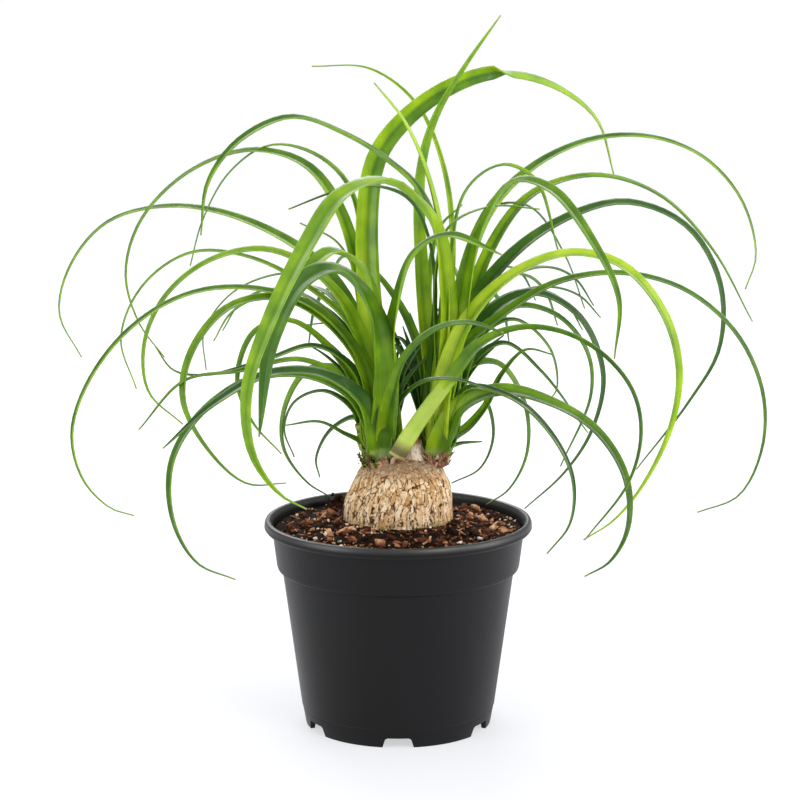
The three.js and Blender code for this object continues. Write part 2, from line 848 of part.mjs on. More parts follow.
const palm = new THREE.Group();
palm.add(part('pot', potBody(), 0x2b2b2e, 0.42));
palm.add(part('soil', soilBody(), 0x3a2217, 0.95));
palm.add(part('caudex', caudexBody(), 0xb08a5c, 0.9));
palm.add(part('crown_left', headBody(heads.left, leftLeaves, [sideShoot()]), 0x5d9a1e, 0.45));
palm.add(part('crown_right', headBody(heads.right, rightLeaves, []), 0x6aa521, 0.45));

export default palm;
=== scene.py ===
import math
import random

import bmesh
import bpy
from mathutils import Matrix, Vector, geometry, noise


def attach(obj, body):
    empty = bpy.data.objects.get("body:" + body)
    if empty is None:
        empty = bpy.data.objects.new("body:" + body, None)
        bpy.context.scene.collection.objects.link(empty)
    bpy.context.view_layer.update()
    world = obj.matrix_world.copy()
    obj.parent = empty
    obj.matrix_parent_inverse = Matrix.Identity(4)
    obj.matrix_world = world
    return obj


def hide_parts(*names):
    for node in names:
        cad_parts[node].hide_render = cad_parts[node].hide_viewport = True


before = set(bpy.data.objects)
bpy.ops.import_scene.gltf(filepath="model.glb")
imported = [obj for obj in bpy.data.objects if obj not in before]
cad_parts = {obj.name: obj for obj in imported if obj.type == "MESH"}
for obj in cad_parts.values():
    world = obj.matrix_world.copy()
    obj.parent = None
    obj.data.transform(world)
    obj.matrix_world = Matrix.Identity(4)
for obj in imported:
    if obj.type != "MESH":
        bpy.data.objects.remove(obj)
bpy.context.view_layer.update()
mm = 0.001  # pieces are drawn in millimetres, and makePiece brings them to metres


def linear(hexColour):
    # an sRGB hex value as the linear colour that a shader takes
    parts = [int(hexColour[i:i + 2], 16) / 255 for i in (1, 3, 5)]
    return [c / 12.92 if c < 0.04045 else ((c + 0.055) / 1.055) ** 2.4 for c in parts] + [1]


def addNode(tree, kind, inputs=None, stops=None, **settings):
    # inputs gives each socket a value, a hex colour, another node or one of a node's outputs, and stops
    # fills a colour ramp
    node = tree.nodes.new("ShaderNode" + kind)
    for name, value in settings.items():
        setattr(node, name, value)
    for socket, value in (inputs or {}).items():
        if isinstance(value, bpy.types.Node):
            value = value.outputs[0]
        if isinstance(value, bpy.types.NodeSocket):
            tree.links.new(value, node.inputs[socket])
        else:
            node.inputs[socket].default_value = linear(value) if isinstance(value, str) else value
    if stops:
        ends = node.color_ramp.elements
        ends[0].position, ends[1].position = stops[0][0], stops[-1][0]
        ends[0].color, ends[1].color = linear(stops[0][1]), linear(stops[-1][1])
        for place, colour in stops[1:-1]:
            ends.new(place).color = linear(colour)
    return node


def newMaterial(name):
    material = bpy.data.materials.new(name)
    material.use_nodes = True
    material.node_tree.nodes.clear()
    return material, material.node_tree


def makePiece(name, bm, materials, replaced=None, sharpAngle=None):
    bmesh.ops.scale(bm, vec=(mm, mm, mm), verts=bm.verts)
    for face in bm.faces:
        face.smooth = True
    mesh = bpy.data.meshes.new(name)
    bm.to_mesh(mesh)
    bm.free()
    if sharpAngle:
        mesh.set_sharp_from_angle(angle=math.radians(sharpAngle))
    for material in materials:
        mesh.materials.append(material)
    piece = bpy.data.objects.new(name, mesh)
    bpy.context.scene.collection.objects.link(piece)
    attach(piece, "root")
    if replaced:
        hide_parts(replaced)
    return piece


def ease(t):
    t = min(1, max(0, t))
    return t * t * (3 - 2 * t)


def blend(low, high, share):
    return low + (high - low) * share


def spinOutline(bm, outline, steps, centre=(0, 0)):
    # turns an outline of (radius, height) points about an upright axis: a closed body where it ends on it
    points = [bm.verts.new((centre[0] + radius, centre[1], height)) for radius, height in outline]
    edges = [bm.edges.new(pair) for pair in zip(points, points[1:])]
    bmesh.ops.spin(bm, geom=points + edges, cent=(*centre, 0), axis=(0, 0, 1), angle=2 * math.pi,
        steps=steps, use_merge=True)
    bmesh.ops.remove_doubles(bm, verts=bm.verts, dist=1e-4)
    bmesh.ops.recalc_face_normals(bm, faces=bm.faces)


def denser(outline, step):
    # a smooth outline through the given points, with a point at each step
    corners = [Vector((radius, 0, height)) for radius, height in outline]
    line = smoothLine(corners)
    count = max(2, round(lengths(line)[-1] / step))
    rows = [(p.x, p.z) for p in pointsAlong(line, [i / count for i in range(count + 1)])]
    return [(max(0, radius), height) for radius, height in rows]


def smoothLine(points, perSpan=16):
    # the centripetal Catmull-Rom line through the points, one Bezier stretch between each two
    ends = [points[0] * 2 - points[1], *points, points[-1] * 2 - points[-2]]
    line = [points[0]]
    for a, b, c, d in zip(ends, ends[1:], ends[2:], ends[3:]):
        before, here, after = [max(1e-3, math.sqrt((q - p).length)) for p, q in ((a, b), (b, c), (c, d))]
        out = (b - a) / before - (c - a) / (before + here) + (c - b) / here
        into = (c - b) / here - (d - b) / (here + after) + (d - c) / after
        line += geometry.interpolate_bezier(b, b + out * here / 3, c - into * here / 3, c, perSpan)[1:]
    return line


def lengths(line):
    run = [0]
    for p, q in zip(line, line[1:]):
        run.append(run[-1] + (q - p).length)
    return run


def pointsAlong(line, shares):
    run = lengths(line)
    found = []
    i = 0
    for share in shares:
        target = share * run[-1]
        while i < len(line) - 2 and run[i + 1] < target:
            i += 1
        found.append(line[i].lerp(line[i + 1], min(1, (target - run[i]) / (run[i + 1] - run[i]))))
    return found


# Camera, light and floor

studio = {
    "cameraPlace": (0.00115, -1.5, 0.485),
    "cameraTilt": 79.57,  # degrees from straight down
    "lens": 108.99,
    "sensor": 36,
    "skyStrengths": (0.3, 1.1),  # at the horizon and overhead
    "floorSize": 160,
    # the floor's own glow, weaker near the pot as a painted shadow
    "floorGlowWithPaintedShadow": ((0.05, 0.6), (0.8, 0.74)),  # distance from the pot's middle and strength, near and far
    "lights": [  # name, place, size, power
        ("keyLight", (1.2, -1.4, 1.2), 0.9, 16),
        ("leftStrip", (-1.3, -0.7, 0.5), 0.7, 9),
        ("rightStrip", (1.4, -0.2, 0.4), 0.7, 8),
        ("backLight", (-0.3, 1.6, 1.5), 1.4, 26),
    ],
    "target": (0, 0, 0.22),
}


def makeStudio():
    scene = bpy.context.scene
    scene.view_settings.view_transform = "Standard"
    camera = bpy.data.objects.new("camera", bpy.data.cameras.new("camera"))
    camera.location = studio["cameraPlace"]
    camera.rotation_euler = (math.radians(studio["cameraTilt"]), 0, 0)
    camera.data.lens = studio["lens"]
    camera.data.sensor_width = studio["sensor"]
    scene.collection.objects.link(camera)
    scene.camera = camera
    world = bpy.data.worlds.new("studio")
    world.use_nodes = True
    sky = world.node_tree
    sky.nodes.clear()
    direction = addNode(sky, "TexCoord").outputs["Generated"]
    height = addNode(sky, "SeparateXYZ", {"Vector": direction}).outputs["Z"]
    horizon, overhead = studio["skyStrengths"]
    strength = addNode(sky, "MapRange", {"Value": height, "To Min": horizon, "To Max": overhead})
    light = addNode(sky, "Background", {"Color": "#ffffff", "Strength": strength})
    addNode(sky, "OutputWorld", {"Surface": light})
    scene.world = world
    for name, place, size, power in studio["lights"]:
        light = bpy.data.lights.new(name, "AREA")
        light.size = size
        light.energy = power
        lamp = bpy.data.objects.new(name, light)
        lamp.location = place
        lamp.rotation_euler = (Vector(studio["target"]) - Vector(place)).to_track_quat("-Z", "Y").to_euler()
        scene.collection.objects.link(lamp)
    bm = bmesh.new()
    bmesh.ops.create_grid(bm, x_segments=1, y_segments=1, size=studio["floorSize"] / 2)
    mesh = bpy.data.meshes.new("floor")
    bm.to_mesh(mesh)
    bm.free()
    mesh.materials.append(glowingFloorWithPaintedShadow())
    floor = bpy.data.objects.new("floor", mesh)
    scene.collection.objects.link(floor)


def glowingFloorWithPaintedShadow():
    # matt opal acrylic that glows by its own emission like a light table, and glows less where the pot
    # stands: a painted shadow round its foot
    material, tree = newMaterial("glowingFloorPaintedShadow")
    away = addNode(tree, "VectorMath", {0: addNode(tree, "TexCoord").outputs["Object"]}, operation="LENGTH")
    (near, paintedShadowGlow), (far, bright) = studio["floorGlowWithPaintedShadow"]
    # painted shadow: the glow is weaker near the pot's middle
    glow = addNode(tree, "MapRange", {"Value": away.outputs["Value"], "From Min": near, "From Max": far,
        "To Min": paintedShadowGlow, "To Max": bright})
    shader = addNode(tree, "BsdfPrincipled", {"Base Color": "#9c9c9e", "Roughness": 0.9,
        "Specular IOR Level": 0.1, "Emission Color": "#fbfcff", "Emission Strength": glow})
    addNode(tree, "OutputMaterial", {"Surface": shader})
    return material


makeStudio()
print("studio ready")


# Pot

pot = {
    "rimRadius": 85,
    "height": 133,
    "rimDepth": 6.7,  # height of the rolled rim
    # the next four are lists of small steps (outwards, upwards) from the radius and height they belong to
    "rimRoll": [(-0.2, -2.2), (-1, -0.5), (-2.4, 0), (-3.6, -0.4)],
    "bandStart": [(-0.6, 0.7), (0, 2.6)],
    "shoulderStep": [(0, -1), (1.6, -0.4)],
    "footGroove": [(2.05, 11.2), (1.9, 11.6), (2.5, 12.2)],
    "bandTopRadius": 80,
    "bandFootRadius": 77.2,
    "shoulderHeight": 101.2,  # where the band steps in to the wall
    "wallTopRadius": 73.7,
    "footRadius": 59.3,
    "wallThickness": 1.2,
    "floorUnderside": 6.5,
    "floorThickness": 1.5,
    "steps": 180,  # faces round the pot
    "edgeRound": 0.45,
    "notches": 6,
    "notchWidths": (15.5, 19.5),  # at its top and at the foot
    "notchHeight": 6.3,
    "notchReach": 8,  # how far in and out of the foot's edge it is cut
    "notchRound": 1,
    "drainHoleRadius": 4.5,
    "drainCircle": 38,
}


def stepped(radius, height, steps):
    return [(radius + outwards, height + upwards) for outwards, upwards in steps]


def potOutline():
    top, thick = pot["height"], pot["wallThickness"]
    rimFoot = top - pot["rimDepth"]
    foot, rim = pot["footRadius"], pot["rimRadius"]
    floor, shoulder = pot["floorUnderside"], pot["shoulderHeight"]
    wallTop, bandFoot, bandTop = pot["wallTopRadius"], pot["bandFootRadius"], pot["bandTopRadius"]
    outside = [
        (0, floor),
        (foot - 3.2, floor),
        (foot - 2.8, 0),
        (foot, 0),
        *stepped(foot, 0, pot["footGroove"]),
        *stepped(wallTop, shoulder, pot["shoulderStep"]),
        *stepped(bandFoot, shoulder, pot["bandStart"]),
        (bandTop, rimFoot),
        (rim - 1.2, rimFoot),
        (rim, rimFoot + 1.6),
        *stepped(rim, top, pot["rimRoll"]),
        (bandTop - 0.1, top - 2.6),
    ]
    inside = [
        (bandTop - thick, rimFoot - 0.3),
        (bandFoot - thick, shoulder + 3),
        (wallTop - thick, shoulder - 2),
        (foot + 0.9, floor + 3),
        (foot - 1.4, floor + pot["floorThickness"]),
        (0, floor + pot["floorThickness"]),
    ]
    return outside + inside


def potCutters():
    # the six notches in the foot ring and the six drain holes in the floor, as one tool to cut with
    bm = bmesh.new()
    top, foot = [width / 2 for width in pot["notchWidths"]]
    high, bend, reach = pot["notchHeight"], pot["notchRound"], pot["notchReach"]
    outline = [(-foot, -2), (foot, -2), (foot, 0), (top + 0.4, high - bend), (top - bend, high),
        (bend - top, high), (-top - 0.4, high - bend), (-foot, 0)]
    for i in range(pot["notches"]):
        face = bm.faces.new([bm.verts.new((x, reach - pot["footRadius"], z)) for x, z in outline])
        grown = bmesh.ops.extrude_face_region(bm, geom=[face])["geom"]
        verts = [v for v in grown if isinstance(v, bmesh.types.BMVert)]
        bmesh.ops.translate(bm, vec=(0, -2 * reach, 0), verts=verts)
        turn = Matrix.Rotation(i * 2 * math.pi / pot["notches"], 4, "Z")
        bmesh.ops.transform(bm, matrix=turn, verts=verts + list(face.verts))
        place = Matrix.Rotation((i + 0.5) * 2 * math.pi / pot["notches"], 4, "Z") @ Matrix.Translation(
            (pot["drainCircle"], 0, pot["floorUnderside"]))
        bmesh.ops.create_cone(bm, cap_ends=True, segments=32, radius1=pot["drainHoleRadius"],
            radius2=pot["drainHoleRadius"], depth=6, matrix=place)
    bmesh.ops.recalc_face_normals(bm, faces=bm.faces)
    bmesh.ops.scale(bm, vec=(mm, mm, mm), verts=bm.verts)
    mesh = bpy.data.meshes.new("potCutters")
    bm.to_mesh(mesh)
    bm.free()
    cutters = bpy.data.objects.new("potCutters", mesh)
    bpy.context.scene.collection.objects.link(cutters)
    return cutters


def makePot():
    bm = bmesh.new()
    spinOutline(bm, potOutline(), pot["steps"])
    bm.normal_update()
    corners = [e for e in bm.edges if len(e.link_faces) == 2 and e.calc_face_angle() > math.radians(24)]
    bmesh.ops.bevel(bm, geom=corners, offset=pot["edgeRound"], offset_type="OFFSET", segments=3,
        profile=0.5, affect="EDGES", material=-1, clamp_overlap=True)
    piece = makePiece("nurseryPot", bm, [mouldedPolypropylene()], "pot", sharpAngle=30)
    cutters = potCutters()
    cut = piece.modifiers.new("notches", "BOOLEAN")
    cut.object = cutters
    cut.operation = "DIFFERENCE"
    shaped = bpy.data.meshes.new_from_object(piece.evaluated_get(bpy.context.evaluated_depsgraph_get()))
    piece.modifiers.clear()
    piece.data = shaped
    shaped.name = "nurseryPot"
    shaped.set_sharp_from_angle(angle=math.radians(30))
    bpy.data.objects.remove(cutters)


def mouldedPolypropylene():
    # black injection-moulded polypropylene: a satin face with a faint eroded grain and soft flow clouds
    material, tree = newMaterial("mouldedPolypropylene")
    place = addNode(tree, "TexCoord").outputs["Object"]
    grain = addNode(tree, "TexNoise", {"Vector": place, "Scale": 1600, "Detail": 2})  # 0.6 mm grain
    clouds = addNode(tree, "Mapping", {"Vector": place, "Scale": (22, 22, 7)})
    flow = addNode(tree, "TexNoise", {"Vector": clouds, "Scale": 1, "Detail": 3})
    tint = addNode(tree, "ValToRGB", {"Fac": flow},
        stops=[(0.3, "#0f0f10"), (0.7, "#141416")])
    height = addNode(tree, "SeparateXYZ", {"Vector": place}).outputs["Z"]
    rimShine = addNode(tree, "MapRange", {"Value": height, "From Min": 0.129, "From Max": 0.131,
        "To Min": 0.18, "To Max": 0.75})
    shine = addNode(tree, "MapRange", {"Value": flow, "From Min": 0.3, "From Max": 0.7,
        "To Min": 0.36, "To Max": 0.47})
    bump = addNode(tree, "Bump", {"Height": grain, "Strength": 0.12, "Distance": 0.0002})
    shader = addNode(tree, "BsdfPrincipled", {"Base Color": tint, "Roughness": shine,
        "IOR": 1.49, "Specular IOR Level": rimShine, "Normal": bump})
    addNode(tree, "OutputMaterial", {"Surface": shader})
    return material


makePot()
print("pot made")


# Caudex, the swollen corky stem base

caudex = {
    "centre": (0, 8),
    "seed": 4,  # of the swirls that its cracks follow
    "outline": [(0, 95), (17, 97), (27, 103), (32.4, 112), (34.4, 122), (34.8, 131), (34.4, 139),
        (33.3, 146), (31, 153), (28.2, 159.5), (24.6, 165), (19, 168.6), (10, 170.4), (0, 171)],
    "steps": 400,  # faces round it
    "row": 0.46,  # height of a row of faces
    "lean": 2,  # how far its top stands to the right
    "leanStart": 137,
    "leanDepth": 20,
    "plateWidth": 2.8,
    "plateHeight": 12,
    "plateRelief": 0.75,
    "plateGap": 0.13,  # width of the crack round a plate, as a share of the plate's
    "scaleWidth": 1.6,  # the small scales that each plate is split into
    "scaleHeight": 5.5,
    "scaleRelief": 0.35,
    "scaleGap": 0.2,
    "swirls": [(6, 1.4), (1.6, 0.4)],  # size of the swirls that the cracks follow, and how far they wander
    "levelCracks": 0.75,  # how much less the level cracks gape than the upright ones
    "lip": 0.3,  # how far each plate stands out at its foot
    "fineGrain": (1.4, 0.16),  # size and depth
    "plateSteps": 0.4,  # how much deeper some plates lie than others
    "shades": (0.2, 0.3, 0.4),  # darkest, and how much a plate and a scale in it may add
    "crackClosing": (3.1, 0.9, 1.3),  # length of a crack's open stretches, usual opening and change
    "barkStart": 118,
    "barkFade": 6,  # height over which the bark's relief starts, and radius within which it ends at the top
    "domeStart": 158,  # from here the relief stands upwards as well as outwards
    "domeFade": 10,
    "stubPlace": (10.4, 6),  # the pale stub of bark between the two heads
    "stubOutline": [(0, 158), (8.4, 160), (7.2, 167), (6, 173), (5.2, 178), (4.2, 182), (2.4, 185.4),
        (0, 186.4)],
    "stubSteps": 72,
    "stubRidges": [(1.1, 7, 1), (0.5, 1.4, 0.6)],  # width, height and share
    "stubRidgeDepths": (0.6, 1.5),  # at its sides and at its torn top
    "tornStart": 176,
    "tornDepth": 9,
    "tornRise": 2.5,
}


def scaled(spot, width, height):
    return Vector((spot.x / width, spot.y / width, spot.z / height))


def corkRelief(spot):
    # depth below the cork's skin at a spot, with the tone of its plate and how deep in a crack it is
    wander = sum((noise.noise_vector(spot / size) * push for size, push in caudex["swirls"]), Vector())
    cell = scaled(spot + wander, caudex["plateWidth"], caudex["plateHeight"])
    near, centres = noise.voronoi(cell)
    between = (centres[1] - centres[0]).normalized()
    gap = 1 - ease((near[1] - near[0]) / caudex["plateGap"])
    gap *= 1 - caudex["levelCracks"] * abs(between.z)
    small, places = noise.voronoi(scaled(spot + wander * 0.5, caudex["scaleWidth"], caudex["scaleHeight"]))
    split = 1 - ease((small[1] - small[0]) / caudex["scaleGap"])
    lip = caudex["lip"] * max(-1, min(1, (cell - centres[0]).z * 2))
    grain, grainDepth = caudex["fineGrain"]
    fine = noise.fractal(spot / grain, 0.8, 2.0, 3) * grainDepth
    tone = noise.cell(centres[0] * 3.7)  # a number of its own for each plate
    depth = caudex["plateRelief"] * gap + caudex["scaleRelief"] * split + lip + fine
    dark, byPlate, byScale = caudex["shades"]
    shade = dark + byPlate * tone + byScale * noise.cell(places[0] * 2.3)
    run, usual, change = caudex["crackClosing"]
    opening = ease(usual + change * noise.noise(spot / run))
    return depth + caudex["plateSteps"] * tone, shade, max(gap * opening, 0.5 * split * (1 - opening))


def makeCaudex():
    noise.seed_set(caudex["seed"])  # without it noise_vector differs from run to run
    bm = bmesh.new()
    tones = bm.verts.layers.float.new("plateTone")
    cracks = bm.verts.layers.float.new("crack")
    below = [p for p in caudex["outline"] if p[1] < caudex["barkStart"]]
    rows = [p for p in denser(caudex["outline"], caudex["row"]) if p[1] > caudex["barkStart"]]
    spinOutline(bm, below + rows, caudex["steps"], caudex["centre"])
    middle = Vector((*caudex["centre"], 0))
    for vert in bm.verts:
        spot = vert.co.copy()
        flat = Vector((spot.x, spot.y, 0)) - middle
        fade = caudex["barkFade"]
        share = ease((spot.z - caudex["barkStart"]) / fade) * min(1, flat.length / fade)
        if share > 0:
            depth, vert[tones], vert[cracks] = corkRelief(spot)
            rise = ease((spot.z - caudex["domeStart"]) / caudex["domeFade"])
            vert.co -= (flat.normalized() + Vector((0, 0, rise))).normalized() * depth * share
        vert.co.x += caudex["lean"] * ease((spot.z - caudex["leanStart"]) / caudex["leanDepth"])
    makePiece("corkCaudex", bm, [corkBark()], "caudex")


def makeStub():
    # a stub of peeling bark, ridged up its sides and torn at its top
    bm = bmesh.new()
    tones = bm.verts.layers.float.new("plateTone")
    cracks = bm.verts.layers.float.new("crack")
    spinOutline(bm, denser(caudex["stubOutline"], 0.5), caudex["stubSteps"], caudex["stubPlace"])
    middle = Vector((*caudex["stubPlace"], 0))
    for vert in bm.verts:
        flat = Vector((vert.co.x, vert.co.y, 0)) - middle
        ridge = sum(share * noise.noise(scaled(vert.co, *size)) for *size, share in caudex["stubRidges"])
        high = ease((vert.co.z - caudex["tornStart"]) / caudex["tornDepth"])
        vert[tones] = 1 - 0.75 * high
        vert[cracks] = 0.8 * ease((-ridge - 0.3) * 2.5)
        vert.co += flat.normalized() * ridge * blend(*caudex["stubRidgeDepths"], high)
        vert.co.z += high * caudex["tornRise"] * noise.noise(scaled(vert.co, 1.5, 50))
    makePiece("barkStub", bm, [peeledBark()])


def peeledBark():
    # weathered inner bark: dry, pale pinkish grey in strips, red-brown where it flakes
    material, tree = newMaterial("peeledBark")
    place = addNode(tree, "TexCoord").outputs["Object"]
    tone = addNode(tree, "Attribute", attribute_name="plateTone").outputs["Fac"]
    crack = addNode(tree, "Attribute", attribute_name="crack").outputs["Fac"]
    strips = addNode(tree, "Mapping", {"Vector": place, "Scale": (1, 1, 0.25)})
    grain = addNode(tree, "TexNoise", {"Vector": strips, "Scale": 900, "Detail": 4})  # 1.1 mm strips
    level = addNode(tree, "Math", {0: tone, 1: grain}, operation="MULTIPLY")
    skin = addNode(tree, "ValToRGB", {"Fac": level},
        stops=[(0.1, "#6e3d24"), (0.25, "#b98a6c"), (0.4, "#dcc3ac"), (0.65, "#f1e4d6")])
    mixed = addNode(tree, "MixRGB", {"Fac": crack, "Color1": skin, "Color2": "#7c5640"})
    bump = addNode(tree, "Bump", {"Height": grain, "Strength": 0.6, "Distance": 0.0005})
    shader = addNode(tree, "BsdfPrincipled", {"Base Color": mixed, "Roughness": 0.9,
        "Specular IOR Level": 0.2, "Normal": bump})
    addNode(tree, "OutputMaterial", {"Surface": shader})
    return material


def corkBark():
    # grown cork bark: dry and matt, pale golden plates with dark cracks between, green at its damp foot
    material, tree = newMaterial("corkBark")
    place = addNode(tree, "TexCoord").outputs["Object"]
    tone = addNode(tree, "Attribute", attribute_name="plateTone").outputs["Fac"]
    crack = addNode(tree, "Attribute", attribute_name="crack").outputs["Fac"]
    stretched = addNode(tree, "Mapping", {"Vector": place, "Scale": (1, 1, 0.45)})
    grain = addNode(tree, "TexNoise", {"Vector": stretched, "Scale": 900, "Detail": 5,
        "Roughness": 0.7})  # 1.1 mm grain
    patches = addNode(tree, "TexNoise", {"Vector": place, "Scale": 110, "Detail": 3})  # 9 mm patches
    mixed = addNode(tree, "Math", {0: tone, 1: grain}, operation="ADD")
    level = addNode(tree, "Math", {0: mixed, 1: patches}, operation="ADD")
    share = addNode(tree, "MapRange", {"Value": level, "From Min": 0.8, "From Max": 2.0})
    skin = addNode(tree, "ValToRGB", {"Fac": share},
        stops=[(0, "#c0925e"), (0.3, "#e0ba8c"), (0.6, "#f0d5b2"), (1, "#f9e6cc")])
    cracked = addNode(tree, "ValToRGB", {"Fac": grain},
        stops=[(0.3, "#2e1a0c"), (0.8, "#7c522e")])
    depth = addNode(tree, "MapRange", {"Value": crack, "From Min": 0.06, "From Max": 0.42})
    bark = addNode(tree, "MixRGB", {"Fac": depth, "Color1": skin,
        "Color2": cracked})
    height = addNode(tree, "SeparateXYZ", {"Vector": place}).outputs["Z"]
    weathered = addNode(tree, "MapRange", {"Value": height, "From Min": 0.158, "From Max": 0.166,
        "To Max": 0.65})
    greyed = addNode(tree, "MixRGB", {"Fac": weathered, "Color1": bark, "Color2": "#8d7058"})
    damp = addNode(tree, "MapRange", {"Value": height, "From Min": 0.137, "From Max": 0.127})
    algae = addNode(tree, "MapRange", {"Value": patches, "From Min": 0.5, "From Max": 0.62})
    green = addNode(tree, "Math", {0: damp, 1: algae}, operation="MULTIPLY")
    tinted = addNode(tree, "MixRGB", {"Fac": green, "Color1": greyed, "Color2": "#75793a"})
    bump = addNode(tree, "Bump", {"Height": grain, "Strength": 0.7, "Distance": 0.0005})
    shader = addNode(tree, "BsdfPrincipled", {"Base Color": tinted, "Roughness": 0.85,
        "Specular IOR Level": 0.25, "Normal": bump})
    addNode(tree, "OutputMaterial", {"Surface": shader})
    return material


makeCaudex()
makeStub()
print("caudex made")


# Soil: a bed of bark and coir with loose chips, crumbs, fibres and perlite on it

soil = {
    "edgeHeight": 126.6,
    "mound": 4.6,
    "gap": 0.45,  # to the pot and to the stem
    "steps": 220,
    "row": 1.0,
    "roughness": 1.5,
    "seed": 11,
    "lumps": (9, 0.9, 4),  # size, roughness and detail
    "loose": [  # count, shortest and longest, width share, height share, tilt, darkest and lightest tone
        (420, 4, 13, 0.55, 0.6, 0.55, (0, 1)),  # chips
        (650, 1.2, 4, 0.8, 0.9, 1.2, (0, 1)),  # crumbs
        (170, 7, 15, 0.13, 0.2, 0.35, (0.3, 1)),  # splinters
    ],
    "spread": (0.7, 1.3),  # how much narrower or wider, and thinner or thicker, one is than another
    "sunk": (-0.05, 0.25),  # how high its middle lies over the bed, as a share of its thickness
    "shardPoints": 13,
    "shardFlatness": (0.45, 0.6, 0.8, 0.35, 0.7, 0.5),
    "perlite": 70,
    "scatterRadius": 77,
    "wallRadius": 77.5,  # what lies loose stays within this
    "stemRadius": 34.5,  # and outside this
    "perliteRise": 0.3,  # how high a grain's middle lies, as a share of its length
    "perliteShape": (1, 0.75, 0.85),
    "perliteLength": (1.2, 3.4),
    "clumpPlace": (-41, 57, 126),  # the dark clod against the wall at the back
    "clumpSize": (8, 6, 11),
    "clumpSpread": 0.4,
    "clumpShard": (2, 6),
    "clumpShards": 60,
}
# perlite and pale stones that show in front: x, height as seen, length
palePlaces = [(-64, 126.5, 3), (-53, 119.5, 5), (-46, 121, 6.5), (-36, 115, 4), (4, 121, 5), (39, 117, 6),
    (52, 119.5, 6), (60, 126, 6.5), (50, 135, 3.5), (38, 131, 4), (68, 132, 3), (74, 132, 3),
    (47, 137, 2.6), (64, 137, 2.6), (-28, 121, 4)]


def soilHeight(x, y):
    radius = math.hypot(x, y)
    spot = Vector((x, y, 0))
    rise = soil["mound"] * ease((66 - radius) / 26)
    size, coarse, detail = soil["lumps"]
    calm = min(1, max(0.35, (78 - radius) / 10))  # the bed is smoother along the pot's wall
    lumps = noise.fractal(spot / size, coarse, 2.0, detail) * soil["roughness"] * calm
    return soil["edgeHeight"] + rise + lumps


def underCaudex(x, y):
    # height of the stem's underside, where the soil lies against it
    radius = math.hypot(x - caudex["centre"][0], y - caudex["centre"][1])
    lower = [p for p in caudex["outline"] if p[1] <= 131]
    for (r0, z0), (r1, z1) in zip(lower, lower[1:]):
        if r0 <= radius <= r1:
            return z0 + (z1 - z0) * (radius - r0) / (r1 - r0) - soil["gap"]
    return 1000


def makeSoilBed():
    wall = pot["wallThickness"] + soil["gap"]
    base = pot["floorUnderside"] + pot["floorThickness"] + soil["gap"]
    outline = [
        (0, base),
        (pot["footRadius"] - 1.8, base),
        (pot["footRadius"] + 0.4, pot["floorUnderside"] + 3.2),
        (pot["wallTopRadius"] - wall, pot["shoulderHeight"] - 2.2),
        (pot["bandFootRadius"] - wall, pot["shoulderHeight"] + 2.8),
        (pot["bandTopRadius"] - wall - 0.1, soil["edgeHeight"] - 1),
    ]
    radius = pot["bandTopRadius"] - wall - 0.4
    while radius > 0:
        outline.append((radius, soil["edgeHeight"]))
        radius -= soil["row"]
    outline.append((0, soil["edgeHeight"]))
    bm = bmesh.new()
    spinOutline(bm, outline, soil["steps"])
    for vert in bm.verts:
        if vert.co.z > soil["edgeHeight"] - 0.5:
            x, y = vert.co.x, vert.co.y
            vert.co.z = min(soilHeight(x, y), underCaudex(x, y))
    makePiece("soilBed", bm, [pottingBark()], "soil")


def shardTemplate(draw, points, flatness):
    # an angular chip: the hull round a few random points
    bm = bmesh.new()
    for i in range(points):
        spot = Vector([draw.uniform(-1, 1) for axis in range(3)])
        bm.verts.new(spot.normalized() * draw.uniform(0.7, 1) * 0.5)
    found = bmesh.ops.convex_hull(bm, input=bm.verts)
    bmesh.ops.delete(bm, geom=list(set(found["geom_interior"] + found["geom_unused"])), context="VERTS")
    bmesh.ops.scale(bm, vec=(1, 1, flatness), verts=bm.verts)
    bmesh.ops.recalc_face_normals(bm, faces=bm.faces)
    mesh = bpy.data.meshes.new("shard")
    bm.to_mesh(mesh)
    bm.free()
    return mesh


def addShard(bm, template, size, place, turn, tone, layer):
    start = len(bm.verts)
    bm.from_mesh(template)
    bm.verts.ensure_lookup_table()
    verts = bm.verts[start:]
    matrix = Matrix.Translation(place) @ turn @ Matrix.Diagonal((*size, 1))
    bmesh.ops.transform(bm, matrix=matrix, verts=verts)
    for vert in verts:
        vert[layer] = tone


def randomTurn(draw, tilt):
    return (Matrix.Rotation(draw.uniform(0, 2 * math.pi), 4, "Z")
        @ Matrix.Rotation(draw.uniform(-tilt, tilt), 4, "X")
        @ Matrix.Rotation(draw.uniform(-tilt, tilt), 4, "Y"))


def soilSpot(draw, reach):
    # a random place on the soil, clear of the stem and the pot's wall by the reach of what lies there
    while True:
        angle = draw.uniform(0, 2 * math.pi)
        radius = soil["scatterRadius"] * math.sqrt(draw.random())
        x, y = radius * math.cos(angle), radius * math.sin(angle)
        fromStem = math.hypot(x - caudex["centre"][0], y - caudex["centre"][1])
        if radius + reach < soil["wallRadius"] and fromStem - reach * 0.7 > soil["stemRadius"]:
            return x, y


